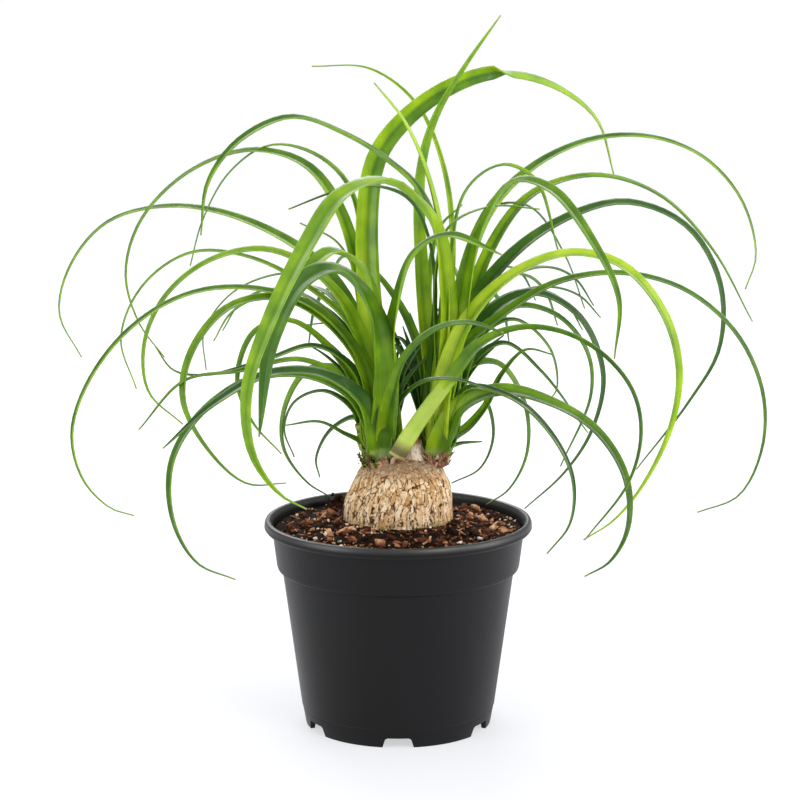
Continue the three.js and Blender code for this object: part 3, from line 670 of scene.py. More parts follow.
def makeLooseSoil():
    draw = random.Random(soil["seed"])
    shards = [shardTemplate(draw, soil["shardPoints"], flatness) for flatness in soil["shardFlatness"] * 3]
    bm = bmesh.new()
    layer = bm.verts.layers.float.new("tone")
    for count, short, long, width, height, tilt, tones in soil["loose"]:
        for i in range(count):
            length = blend(short, long, draw.random() ** 2)
            x, y = soilSpot(draw, length / 2)
            wide, thick = [length * share * draw.uniform(*soil["spread"]) for share in (width, height)]
            place = (x, y, soilHeight(x, y) + thick * draw.uniform(*soil["sunk"]))
            shard, turn, tone = draw.choice(shards), randomTurn(draw, tilt), draw.uniform(*tones)
            addShard(bm, shard, (length, wide, thick), place, turn, tone, layer)
    for i in range(soil["clumpShards"]):
        spread = Vector([draw.gauss(0, soil["clumpSpread"]) for axis in range(3)])
        place = Vector(soil["clumpPlace"]) + Vector([s * size for s, size in zip(spread, soil["clumpSize"])])
        place.z = soil["clumpPlace"][2] + abs(place.z - soil["clumpPlace"][2])
        shard, length = draw.choice(shards), draw.uniform(*soil["clumpShard"])
        addShard(bm, shard, (length,) * 3, place, randomTurn(draw, 3), 0.3, layer)
    makePiece("barkChips", bm, [pottingBark()])
    bm = bmesh.new()
    layer = bm.verts.layers.float.new("tone")
    for x, z, length in palePlaces:
        x, y = onSoil(x, z)
        place = (x, y, soilHeight(x, y) + soil["perliteRise"] * length)
        size = [length * share for share in soil["perliteShape"]]
        addShard(bm, draw.choice(shards), size, place, randomTurn(draw, 0.5), draw.random(), layer)
    for i in range(soil["perlite"]):
        length = draw.uniform(*soil["perliteLength"])
        x, y = soilSpot(draw, length / 2)
        place = (x, y, soilHeight(x, y) + soil["perliteRise"] * length)
        addShard(bm, draw.choice(shards), (length,) * 3, place, randomTurn(draw, 1), draw.random(), layer)
    makePiece("perlite", bm, [expandedPerlite()])


def onSoil(x, z):
    # the place on the soil that is seen from the front at (x, z) on the plane y = 0
    eyeX, eyeY, eyeZ = [v / mm for v in studio["cameraPlace"]]
    share = (eyeZ - soil["edgeHeight"] - 2) / (eyeZ - z)
    return eyeX + (x - eyeX) * share, eyeY * (1 - share)


def pottingBark():
    # composted pine bark and coir: matt, near black where it is wet and red-brown where a chip has split
    material, tree = newMaterial("pottingBark")
    place = addNode(tree, "TexCoord").outputs["Object"]
    grain = addNode(tree, "TexNoise", {"Vector": place, "Scale": 700, "Detail": 5, "Roughness": 0.65})
    lumps = addNode(tree, "TexNoise", {"Vector": place, "Scale": 180, "Detail": 2})
    tone = addNode(tree, "Attribute", attribute_name="tone").outputs["Fac"]
    level = addNode(tree, "Math", {0: lumps, 1: tone}, operation="ADD")
    share = addNode(tree, "MapRange", {"Value": level, "From Min": 0.45, "From Max": 1.5})
    body = addNode(tree, "ValToRGB", {"Fac": share},
        stops=[(0, "#170d09"), (0.3, "#3a2114"), (0.58, "#6b402a"), (0.8, "#a0684a"), (1, "#dba880")])
    speck = addNode(tree, "MapRange", {"Value": grain, "From Min": 0.35, "From Max": 0.7,
        "To Min": 0.6, "To Max": 1.35})
    coloured = addNode(tree, "VectorMath", {0: body, "Scale": speck}, operation="SCALE")
    bump = addNode(tree, "Bump", {"Height": grain, "Strength": 0.8, "Distance": 0.0006})
    shader = addNode(tree, "BsdfPrincipled", {"Base Color": coloured, "Roughness": 0.9,
        "Specular IOR Level": 0.1, "Normal": bump})
    addNode(tree, "OutputMaterial", {"Surface": shader})
    return material


def expandedPerlite():
    # expanded perlite and pale grit: chalky, with brown dust on it
    material, tree = newMaterial("expandedPerlite")
    place = addNode(tree, "TexCoord").outputs["Object"]
    tone = addNode(tree, "Attribute", attribute_name="tone").outputs["Fac"]
    dust = addNode(tree, "TexNoise", {"Vector": place, "Scale": 420, "Detail": 4})
    stone = addNode(tree, "ValToRGB", {"Fac": tone},
        stops=[(0, "#f3efe8"), (0.5, "#ead3c0"), (1, "#d9a67c")])
    cover = addNode(tree, "MapRange", {"Value": dust, "From Min": 0.52, "From Max": 0.68,
        "To Max": 0.8})
    coloured = addNode(tree, "MixRGB", {"Fac": cover, "Color1": stone,
        "Color2": "#9a6b48"})
    bump = addNode(tree, "Bump", {"Height": dust, "Strength": 0.5, "Distance": 0.0005})
    shader = addNode(tree, "BsdfPrincipled", {"Base Color": coloured, "Roughness": 0.9,
        "Specular IOR Level": 0.2, "Normal": bump})
    addNode(tree, "OutputMaterial", {"Surface": shader})
    return material


makeSoilBed()
makeLooseSoil()
print("soil made")


# Heads of leaves. Each leaf is given by the points (x, z) that its midrib passes as seen from the front, on
# the plane y = 0. depth is how far back its tip lies, root how far back it starts, and face how far the
# blade is turned to the front, with crest the share of that which is left where the leaf is level. tone
# runs from bright to dark, and shape says how much wider it is at its root and how late it tapers.

leftLeaves = [
    dict(width=8, depth=110, seen=[(-13, 185), (-19, 238), (-44, 289), (-90, 320), (-140, 331),
        (-181, 321), (-205, 293), (-212, 263), (-199, 236)]),
    dict(width=8, depth=80, seen=[(-14, 190), (-22, 272), (-37, 330), (-58, 357), (-92, 365.5),
        (-130, 352), (-160, 322), (-170, 288), (-162, 257), (-147, 236)]),
    dict(width=3.5, depth=60, seen=[(-14, 195), (-20, 282), (-30, 343), (-52, 364), (-80, 369),
        (-105, 352), (-122, 322), (-130, 294)]),
    dict(width=12.5, depth=45, tone=0.3, face=0.85, shape=(0.1, 2.4), seen=[(-12, 185), (-17, 262),
        (-19, 330), (-13, 362), (4, 385), (32, 405), (62, 414), (95, 407), (122, 386), (134, 348)]),
    dict(width=12.5, depth=-45, tone=0.15, face=0.8, shape=(0.1, 2.6), crest=0.4, seen=[(-11, 185),
        (-12, 245), (-24, 293), (-42, 302), (-60, 285), (-78, 240)]),
    dict(width=14.5, depth=-85, root=-12, tone=0.6, face=0.9, shape=(0, 3), crest=0.4, seen=[(-11, 185),
        (-9, 225), (-17, 265), (-38, 290), (-60, 283), (-79, 246), (-88, 185)]),
    dict(width=9.5, depth=-60, seen=[(-13, 185), (-21, 227), (-45, 258), (-75, 273), (-106, 267),
        (-129, 240), (-135, 209), (-119, 176), (-96, 155), (-71, 155)]),
    dict(width=8.5, depth=-15, seen=[(-14, 188), (-24, 250), (-50, 288), (-82, 303.5), (-117, 297),
        (-145, 275), (-159, 245), (-157, 214), (-136, 193)]),
    dict(width=4.5, depth=25, seen=[(-14, 192), (-26, 250), (-57, 281), (-95, 300), (-130, 302),
        (-160, 281), (-174, 248), (-165, 216)]),
    dict(width=6, depth=-75, seen=[(-14, 186), (-24, 235), (-52, 267), (-92, 279.5), (-131, 276),
        (-167, 255), (-194, 222), (-206, 188), (-200, 158), (-183, 139), (-168, 134)]),
    dict(width=3, depth=90, seen=[(-12, 195), (-24, 262), (-47, 286), (-74, 289), (-104, 277),
        (-122, 252), (-121, 228)]),
    dict(width=7, depth=-30, seen=[(-15, 182), (-23, 210), (-42, 240), (-68, 259), (-90, 252),
        (-101, 222), (-92, 195), (-74, 174)]),
    dict(width=6, depth=-40, seen=[(-15, 182), (-26, 225), (-52, 243), (-84, 234), (-120, 225),
        (-141, 228), (-152, 243)]),
    dict(width=6, depth=-50, seen=[(-15, 180), (-27, 214), (-60, 234), (-100, 227), (-135, 221),
        (-164, 190)]),
    dict(width=8, depth=-115, seen=[(-14.6, 182), (-27, 207), (-55, 223), (-90, 222), (-123, 201),
        (-143, 169), (-143, 131), (-128, 103), (-104, 92)]),
    dict(width=9.5, depth=50, seen=[(-12, 185), (-15, 204), (-30, 223), (-54, 228), (-70, 206),
        (-72, 178), (-58, 156), (-44, 146.5)]),
    dict(width=4, depth=30, seen=[(-14, 184), (-27, 201), (-46, 214.5), (-65, 208), (-72, 190),
        (-66, 172)]),
    dict(width=4.5, depth=-25, seen=[(-13, 181), (-23, 181), (-34, 187), (-50, 195), (-71, 193)]),
    dict(width=5.5, depth=25, seen=[(-13, 186), (-26, 197), (-42, 190), (-52, 171), (-50, 159)]),
    dict(width=10, depth=-95, root=-15, tone=0.85, face=0.85, shape=(0.5, 2), seen=[(-13, 183),
        (-23, 207), (-48, 224), (-80, 225), (-115, 207), (-149, 178)]),
    dict(width=2.6, depth=60, seen=[(-13, 200), (-22, 275), (-38, 309), (-61, 321)]),
    dict(width=3, depth=30, seen=[(-14, 200), (-24, 235), (-42, 257), (-58, 257)]),
    dict(width=11, depth=-70, tone=0.35, face=0.95, shape=(0, 3), crest=0.6, seen=[(-8, 185), (-6, 225),
        (-1, 265), (11, 302), (32, 313), (65, 301)]),
    dict(width=9, depth=-95, root=-14, tone=0.7, face=0.95, shape=(0.2, 2.6), crest=0.7, seen=[(-8, 183),
        (-5, 206), (6, 237), (25, 254), (46, 258), (66, 252)]),
    dict(width=6, depth=-60, seen=[(-7, 183), (-2, 201), (13, 219), (36, 222), (70, 211)]),
    dict(width=7.8, depth=-105, root=-6, face=-0.75, seen=[(-7, 176), (10, 189), (32, 220), (50, 243),
        (75, 254), (102, 252), (128, 238), (147, 215), (153, 188), (146, 156), (119, 118)]),
]
rightLeaves = [
    dict(width=8, depth=40, seen=[(22, 190), (17, 225), (8, 255), (-4, 277), (-20, 295), (-40, 303)]),
    dict(width=7.5, depth=35, seen=[(21, 190), (16, 218), (8, 240), (0, 249), (-11, 247)]),
    dict(width=7, depth=30, seen=[(23, 190), (20, 240), (19, 285), (26, 318), (40, 332)]),
    dict(width=10.5, depth=-45, tone=0.45, shape=(0.1, 1.8), seen=[(26, 185), (29, 245), (25, 305),
        (12, 341), (-4, 357), (-30, 374), (-65, 386), (-98, 372), (-118, 346), (-123, 313)]),
    dict(width=9, depth=20, tone=0.2, face=0.8, shape=(0, 2.6), seen=[(22, 190), (14, 290), (13, 352),
        (22, 386), (41, 418), (63, 448)]),
    dict(width=4, depth=55, seen=[(25, 195), (34, 305), (27, 360), (10, 396), (-18, 416), (-53, 417)]),
    dict(width=10, depth=-30, tone=0.1, face=0.8, shape=(0, 3), seen=[(26, 190), (31, 285), (21, 345),
        (4, 384), (-15, 407)]),
    dict(width=6, depth=-10, tone=1.1, crest=0.1, seen=[(24, 200), (23, 292), (9, 334), (-8, 343),
        (-36, 341), (-68, 329)]),
    dict(width=13, depth=-144, root=5, tone=0.2, face=0.85, shape=(-0.2, 2.8), crest=0.05, seen=[
        (26, 185), (31, 245), (29, 280), (22, 318), (6, 339), (-8, 346), (-23, 343), (-38, 334),
        (-54, 310), (-80, 259), (-95, 213), (-92, 174), (-75, 148), (-58, 138)]),
    dict(width=8.5, depth=45, seen=[(27, 190), (38, 270), (56, 326), (85, 356), (120, 372), (155, 374),
        (188, 362), (213, 335), (223, 300), (217, 279)]),
    dict(width=6, depth=-15, seen=[(26, 190), (32, 282), (42, 341), (64, 357), (85, 348), (100, 303)]),
    dict(width=3, depth=30, seen=[(26, 190), (38, 285), (58, 330), (82, 331), (104, 301), (117, 267)]),
    dict(width=10.5, depth=-80, tone=0.4, shape=(0.1, 2), seen=[(28, 188), (40, 250), (53, 317),
        (72, 346), (95, 341), (121, 309), (138, 273), (136, 235)]),
    dict(width=8.5, depth=55, seen=[(28, 190), (40, 250), (58, 305), (83, 338), (122, 350), (162, 338),
        (196, 304), (222, 259)]),
    dict(width=9.5, depth=15, tone=1.1, seen=[(29, 186), (38, 248), (62, 290), (97, 319), (140, 333),
        (178, 319), (200, 284), (201, 242), (183, 208), (151, 164)]),
    dict(width=10.5, depth=-60, root=-8, tone=0.05, seen=[(27, 190), (30, 222), (45, 260), (73, 288),
        (108, 301), (140, 293), (166, 263), (176, 228), (172, 193), (156, 156), (137, 131), (118, 118)]),
    dict(width=6.5, depth=-40, seen=[(30, 190), (38, 238), (66, 263), (98, 282.5), (138, 289), (178, 279),
        (211, 252), (229, 215), (230, 178), (216, 147), (190, 136)]),
    dict(width=10, depth=60, tone=1, seen=[(30, 185), (38, 222), (58, 263), (84, 276), (112, 262),
        (128, 226), (122, 190), (105, 162), (80.5, 138.5)]),
    dict(width=8, depth=45, seen=[(29, 190), (44, 236), (70, 267), (98, 263), (118, 240), (121, 212),
        (103, 166)]),
    dict(width=6, depth=40, seen=[(30, 188), (46, 231), (66, 245), (90, 227), (120, 188)]),
    dict(width=8, depth=-110, root=-4, tone=0.7, face=1, shape=(0.7, 1.8), seen=[(25.5, 178), (30, 190),
        (38, 203), (64, 214), (96, 207), (125, 189), (144, 159), (146, 126), (135, 104), (119, 94)]),
    dict(width=5, depth=-125, seen=[(28, 186), (42, 215), (70, 211), (96, 188), (111, 157), (109, 128),
        (95, 109)]),
    dict(width=7, depth=42, seen=[(29, 190), (42, 228), (62, 232), (79, 207), (81, 174), (70, 151),
        (56, 141)]),
    dict(width=4, depth=20, seen=[(28, 190), (38, 214), (53, 211), (60, 187), (52, 165), (34, 155)]),
    dict(width=6, depth=30, seen=[(28, 195), (48, 245), (72, 260), (95, 242), (100, 216), (95, 208)]),
    dict(width=6, depth=-15, seen=[(24, 200), (23, 288), (32, 319), (58, 331), (88, 329)]),
    dict(width=5, depth=10, seen=[(25, 178), (33, 179), (40, 181), (53, 182.5)]),
    dict(width=6, depth=15, seen=[(27, 180), (44, 191), (56, 206), (65, 225), (80, 241), (98, 238)]),
]

heads = {
    "left": {
        "x": -10.5,
        "y": 4,
        "fan": (0.52, 0.84),  # directions of the leaves at the back, in half turns from +X
        "seed": 5,
        "core": [(0, 166.5), (8.5, 167.5), (11, 172), (11.6, 181), (10.6, 193), (8.4, 207), (5, 222),
            (0, 238)],
        "leaves": leftLeaves,
    },
    "right": {
        "x": 24.5,
        "y": 8,
        "fan": (0.16, 0.48),
        "seed": 32,
        "core": [(0, 165), (5.2, 166), (7.6, 172), (9.3, 184), (9.8, 199), (7.6, 214), (4.2, 228),
            (0, 242)],
        "leaves": rightLeaves,
    },
}
leafForm = {
    "eye": Vector((1, -1500, 485)),  # the viewpoint that the leaves are described from
    "stations": 54,  # rings along a leaf
    "across": 8,  # faces across it
    "fold": 0.55,  # how far the edges rise, as a share of half the width
    "thickness": 0.75,
    "foldRound": (0.004, 0.063),  # rounds the fold at the midrib
    "crowding": 0.85,  # how much closer the rings lie at the root
    "tipWidth": 0.4,
    "tipRound": 0.9,
    "usualShape": (0.25, 1.5),
    "baseShare": 0.5,  # share of the leaf over which its root's extra width is lost
    "seenShare": 0.88,  # share of a leaf's true width that shows from the front
    "usualFace": 0.7,
    "faceChange": (1.1, 0.6),  # a leaf's face is this many times its value at the root and farther out
    "faceShare": 0.7,  # share of the leaf over which that changes
    "usualCrest": 0.5,
    "steepPower": 2.5,  # how fast a leaf turns its face as it steepens
    "toneShares": (0.55, 0.45),  # how far a leaf's tone comes from its height in the head, and from chance
    "rootFlare": 0.3,  # how much wider the leaf is where it clasps the stem
    "sheathLength": 17,
    "claspHeights": (167.5, 174),  # of the lowest leaf's foot and the highest leaf's
    "claspRise": 12,
    "claspReach": ((1.08, 0.55), (1.1, 0.6)),  # shares of the core's radius at the foot and a rise above it
    "claspRadius": 4,  # smallest radius that a sheath is bent round
    "sideReach": 0.85,  # how far round to its side a leaf in front may start
    "frontDepth": -35,  # leaves that reach farther forward than this start in front
    "frontReach": 12,  # distance from the head's middle, as seen, at which they start at its side
    "cutStart": (-0.5, 171.5),  # where the cut leaf in front starts as seen, and how far forward
    "cutDepth": -14,
    "foldAt": 0.185,  # share of its length where it folds over and shows its dark side
    "foldSlant": 0.02,
    "foldTone": 0.62,
    "blindLeaves": 8,
    "blindStart": 184,
    "blindLength": (185, 230),
    "blindWidth": (6.5, 9.5),
    "blindLean": (0.08, 0.2),
    "blindDroop": (2.4, 3),
    "blindTones": (0.3, 1),
    "blindRank": 0.8,
    "innerLeaves": 12,  # short ones in the middle of each head, coloured dark as painted shade
    "innerFan": (0.02, 0.98),
    "innerLength": (50, 92),
    "innerWidth": (6, 9),
    "innerLean": (0.05, 0.5),
    "innerDroop": (0.5, 1.2),
    # the inner leaves' tones run dark: painted shade among the crowded leaves
    "innerPaintedShadeTones": (0.9, 1.3),
    "innerRank": 0.9,
    "innerFace": 0.5,
    "innerSkipped": 4,  # points of its midrib that the clasp takes the place of
    "toneSeed": 5,
    "coreShare": 0.86,  # of the head's core that is drawn between the leaves
    "coreSteps": 40,
}

leafLayers = ("across", "along", "fromRoot", "tone", "cut")  # what each point of a leaf tells its material


def draws(seed):
    state = seed
    while True:
        state = state * 16807 % 2147483647
        yield state / 2147483647


def fromView(point, depth):
    # the point at a depth that is seen from the front at (x, z) on the plane y = 0
    eye = leafForm["eye"]
    share = (depth - eye.y) / -eye.y
    return Vector((eye.x + (point[0] - eye.x) * share, depth, eye.z + (point[1] - eye.z) * share))


def midrib(head, leaf):
    seen = [Vector((x, z, 0)) for x, z in leaf["seen"]]
    run = lengths(seen)
    start = leaf.get("root", head["y"] + 0.05 * leaf["depth"])
    return [fromView(point, blend(start, leaf["depth"], ease(r / run[-1]))) for point, r in zip(seen, run)]


def blindRib(head, fan, kind, turn, draw):
    # a leaf at the back: it rises steeply and arches over, and the long ones hang
    angle = math.pi * blend(*fan, turn)
    length = blend(*leafForm[kind + "Length"], next(draw))
    lean = blend(*leafForm[kind + "Lean"], next(draw))
    droop = blend(*leafForm[kind + "Droop"], next(draw))
    away = Vector((math.cos(angle), math.sin(angle), 0))
    points = [Vector((head["x"], head["y"], leafForm["blindStart"])) + 4 * away]
    pieces = 8
    for i in range(pieces):
        bend = blend(lean, droop, ((i + 0.5) / pieces) ** 1.4)
        step = away * math.sin(bend) + Vector((0, 0, math.cos(bend)))
        points.append(points[-1] + step * length / pieces)
    return points


def coreRadius(head, height):
    for (r0, z0), (r1, z1) in zip(head["core"], head["core"][1:]):
        if z0 <= height <= z1:
            return blend(r0, r1, (height - z0) / (z1 - z0))
    return 0


def rootedRib(head, points, rank, front=False, skipped=1):
    # the midrib with its first point moved to the head's skin: in front where it is seen there, or else on
    # the side that the leaf leans to. rank runs from 0 for the lowest leaf, outermost, to 1 for the highest
    heading = points[len(points) // 2] - points[0]
    away = Vector((heading.x, heading.y, 0)).normalized()
    if front:
        most = leafForm["sideReach"]
        across = min(most, max(-most, (points[0].x - head["x"]) / leafForm["frontReach"]))
        away = Vector((across, -math.sqrt(1 - across * across), 0))
    middle = Vector((head["x"], head["y"], 0))
    low = blend(*leafForm["claspHeights"], rank)
    rows = [low, low + leafForm["claspRise"]]
    grown = [blend(*shares, rank) for shares in leafForm["claspReach"]]
    root = [middle + away * coreRadius(head, z) * g + Vector((0, 0, z)) for z, g in zip(rows, grown)]
    return root + points[skipped:]


def bladeSides(line, shares, face, crest):
    # the points, directions along and directions across the blade, turned gradually to face the front
    points = pointsAlong(line, shares)
    heading = pointsAlong(line, [0.5])[0] - line[0]
    level = Vector((heading.y, -heading.x, 0)).normalized()
    alongs = []
    sides = []
    turnBefore = 0
    for i, point in enumerate(points):
        along = (points[min(i + 1, len(points) - 1)] - points[max(i - 1, 0)]).normalized()
        side = (level - along * level.dot(along)).normalized()
        upper = side.cross(along)
        sight = (leafForm["eye"] - point) * (-1 if face < 0 else 1)
        turn = math.atan2(sight.dot(side), sight.dot(upper))
        if i > 0:
            turn -= 2 * math.pi * round((turn - turnBefore) / (2 * math.pi))
        turnBefore = turn
        alongs.append(along)
        shown = abs(face) * blend(*leafForm["faceChange"], ease(shares[i] / leafForm["faceShare"]))
        shown *= blend(crest, 1, min(1, abs(along.z)) ** leafForm["steepPower"])
        sides.append(Matrix.Rotation(turn * shown, 3, along) @ side)
    return points, alongs, sides


def bladeWidth(share, shape):
    # the width of a blade as a share of its leaf's width
    widening, taper = shape
    root = 1 + widening * (1 - ease(share / leafForm["baseShare"]))
    return root * (1 - share ** taper) ** leafForm["tipRound"]


def addBlade(bm, layers, head, ribPoints, leaf, tone, cut=0):
    # a flat grid laid along the midrib as a shallow gutter, clasping the head at its root, then thickened.
    # cut is 1 for a leaf that was cut off below and folds over
    steps, across = leafForm["stations"], leafForm["across"]
    shares = [(i / steps) ** leafForm["crowding"] for i in range(steps + 1)]
    line = smoothLine(ribPoints)
    whole = lengths(line)[-1]
    face, crest = leaf.get("face", leafForm["usualFace"]), leaf.get("crest", leafForm["usualCrest"])
    shape = leaf.get("shape", leafForm["usualShape"])
    width = leaf["width"] / leafForm["seenShare"]
    points, alongs, sides = bladeSides(line, shares, face, crest)
    middle = Vector((head["x"], head["y"], 0))
    free = next(i for i, share in enumerate(shares) if share * whole > leafForm["sheathLength"])
    away = points[free] - middle
    turned = math.copysign(1, away.y * sides[free].x - away.x * sides[free].y)
    round_, sunk = leafForm["foldRound"]
    verts = bmesh.ops.create_grid(bm, x_segments=across, y_segments=steps, size=1)["verts"]
    faces = list({f for v in verts for f in v.link_faces})
    for vert in verts:
        x = vert.co.x
        ring = round((vert.co.y + 1) / 2 * steps)
        share, point, along = shares[ring], points[ring], alongs[ring]
        upper = sides[ring].cross(along)
        fromRoot = share * whole
        clasp = (1 - cut) * (1 - ease(fromRoot / leafForm["sheathLength"]))
        half = max(leafForm["tipWidth"], width * bladeWidth(share, shape)) / 2
        half *= 1 + leafForm["rootFlare"] * clasp
        gutter = leafForm["fold"] * half * (math.sqrt(x * x + round_) - sunk)
        flat = point + sides[ring] * half * x + upper * gutter
        out = point - middle
        radius = max(leafForm["claspRadius"], math.hypot(out.x, out.y))
        angle = math.atan2(out.y, out.x) - turned * half * x / radius
        clasping = middle + Vector((radius * math.cos(angle), radius * math.sin(angle), point.z))
        vert.co = flat.lerp(clasping, clasp)
        vert[layers["across"]] = x
        vert[layers["along"]] = share
        vert[layers["fromRoot"]] = fromRoot
        folded = cut * ease((share - leafForm["foldAt"]) / leafForm["foldSlant"])
        vert[layers["tone"]] = blend(tone, leafForm["foldTone"], folded)
        vert[layers["cut"]] = cut
    bmesh.ops.recalc_face_normals(bm, faces=faces)
    bm.normal_update()
    ring = steps // 3  # clear of the sheath, and not yet thin
    middleFace = min(faces, key=lambda f: (f.calc_center_median() - points[ring]).length)
    if middleFace.normal.dot(sides[ring].cross(alongs[ring])) < 0:
        bmesh.ops.reverse_faces(bm, faces=faces)
        bm.normal_update()
    thick = leafForm["thickness"]
    sources = {(v[layers["along"]], v[layers["across"]]): v.co.copy() for v in verts}
    shell = bmesh.ops.solidify(bm, geom=faces, thickness=thick)["geom"]
    upperSide = set(faces)
    for vert in {v for item in shell if isinstance(item, bmesh.types.BMFace) for v in item.verts}:
        source = sources[vert[layers["along"]], vert[layers["across"]]]
        offset = vert.co - source
        if offset.length > 1.5 * thick:  # a sharp fold would throw it far out
            vert.co = source + offset.normalized() * thick
    for item in shell:
        if isinstance(item, bmesh.types.BMFace) and item not in upperSide:
            run = sum(v[layers["along"]] + leafForm["foldSlant"] * v[layers["across"]] for v in item.verts)
            item.material_index = 0 if cut and run / len(item.verts) > leafForm["foldAt"] else 1


def makeHead(name, side, node):
    head = heads[side]
    bm = bmesh.new()
    layers = {key: bm.verts.layers.float.new(key) for key in leafLayers}
    tones = random.Random(leafForm["toneSeed"] + len(name))
    order = sorted(head["leaves"], key=lambda leaf: max(z for x, z in leaf["seen"]))
    byHeight, byChance = leafForm["toneShares"]
    for i, leaf in enumerate(order):
        rank = i / (len(order) - 1)
        points = midrib(head, leaf)
        cut = leaf.get("face", 0) < 0
        tone = leaf.get("tone", 0 if cut else byHeight * (1 - rank) + byChance * tones.random())
        if cut:
            leaf = leaf | dict(root=leafForm["cutDepth"], seen=[leafForm["cutStart"], *leaf["seen"][1:]])
            rooted = midrib(head, leaf)
        else:
            rooted = rootedRib(head, points, rank, leaf["depth"] < leafForm["frontDepth"])
        addBlade(bm, layers, head, rooted, leaf, tone, int(cut))
    draw = draws(head["seed"])
    for i in range(leafForm["blindLeaves"]):
        points = blindRib(head, head["fan"], "blind", (i + 0.5) / leafForm["blindLeaves"], draw)
        leaf = dict(width=blend(*leafForm["blindWidth"], next(draw)) * leafForm["seenShare"], face=0)
        rooted = rootedRib(head, points, leafForm["blindRank"])
        addBlade(bm, layers, head, rooted, leaf, blend(*leafForm["blindTones"], tones.random()))
    for i in range(leafForm["innerLeaves"]):
        turn = (i + tones.random()) / leafForm["innerLeaves"]
        points = blindRib(head, leafForm["innerFan"], "inner", turn, draw)
        leaf = dict(width=blend(*leafForm["innerWidth"], tones.random()), face=leafForm["innerFace"])
        rooted = rootedRib(head, points, leafForm["innerRank"], skipped=leafForm["innerSkipped"])
        addBlade(bm, layers, head, rooted, leaf, blend(*leafForm["innerPaintedShadeTones"], tones.random()))
    makePiece(name, bm, [leafSkin("leafUpperSide", False), leafSkin("leafUnderside", True)],
        node)
    bm = bmesh.new()
    core = [(radius * leafForm["coreShare"], z) for radius, z in denser(head["core"], 3)]
    spinOutline(bm, core, leafForm["coreSteps"], (head["x"], head["y"]))
    makePiece(name + "Core", bm, [leafHeart()])


def leafSkin(name, under):
    # a living strap leaf: a cuticle of wax over parallel veins, thin enough to glow with the light behind
    # it, with painted shade and a painted sheen in its colour
    material, tree = newMaterial(name)
    layers = {key: addNode(tree, "Attribute", attribute_name=key).outputs["Fac"] for key in leafLayers}
    veinRun = addNode(tree, "Math", {0: layers["across"], 1: 34}, operation="MULTIPLY")
    veins = addNode(tree, "Math", {0: veinRun}, operation="SINE")  # drawn coarser than they are
    blade = bladeGreen(tree, layers, veins, under)
    aged = rootAndTip(tree, layers, blade)
    paintedSheenShare = paintedSheen(tree, layers)
    # mixes in the pale colour of the painted sheen
    withPaintedSheen = addNode(tree, "MixRGB", {"Fac": paintedSheenShare, "Color1": aged, "Color2": "#e6f0dc"})
    bump = addNode(tree, "Bump", {"Height": veins, "Strength": 0.25, "Distance": 0.0002})
    shader = addNode(tree, "BsdfPrincipled", {"Base Color": withPaintedSheen, "Roughness": 0.5 if under else 0.38,
        "IOR": 1.45, "Specular IOR Level": 0.2 if under else 0.28, "Coat Weight": 0.05 if under else 0.3,
        "Coat Roughness": 0.18, "Normal": bump})
    through = addNode(tree, "VectorMath", {0: aged, 1: (1.5, 1.3, 0.5)}, operation="MULTIPLY")
    glow = addNode(tree, "BsdfTranslucent", {"Color": through})
    both = addNode(tree, "MixShader", {0: 0.28, 1: shader, 2: glow})
    addNode(tree, "OutputMaterial", {"Surface": both})
    return material


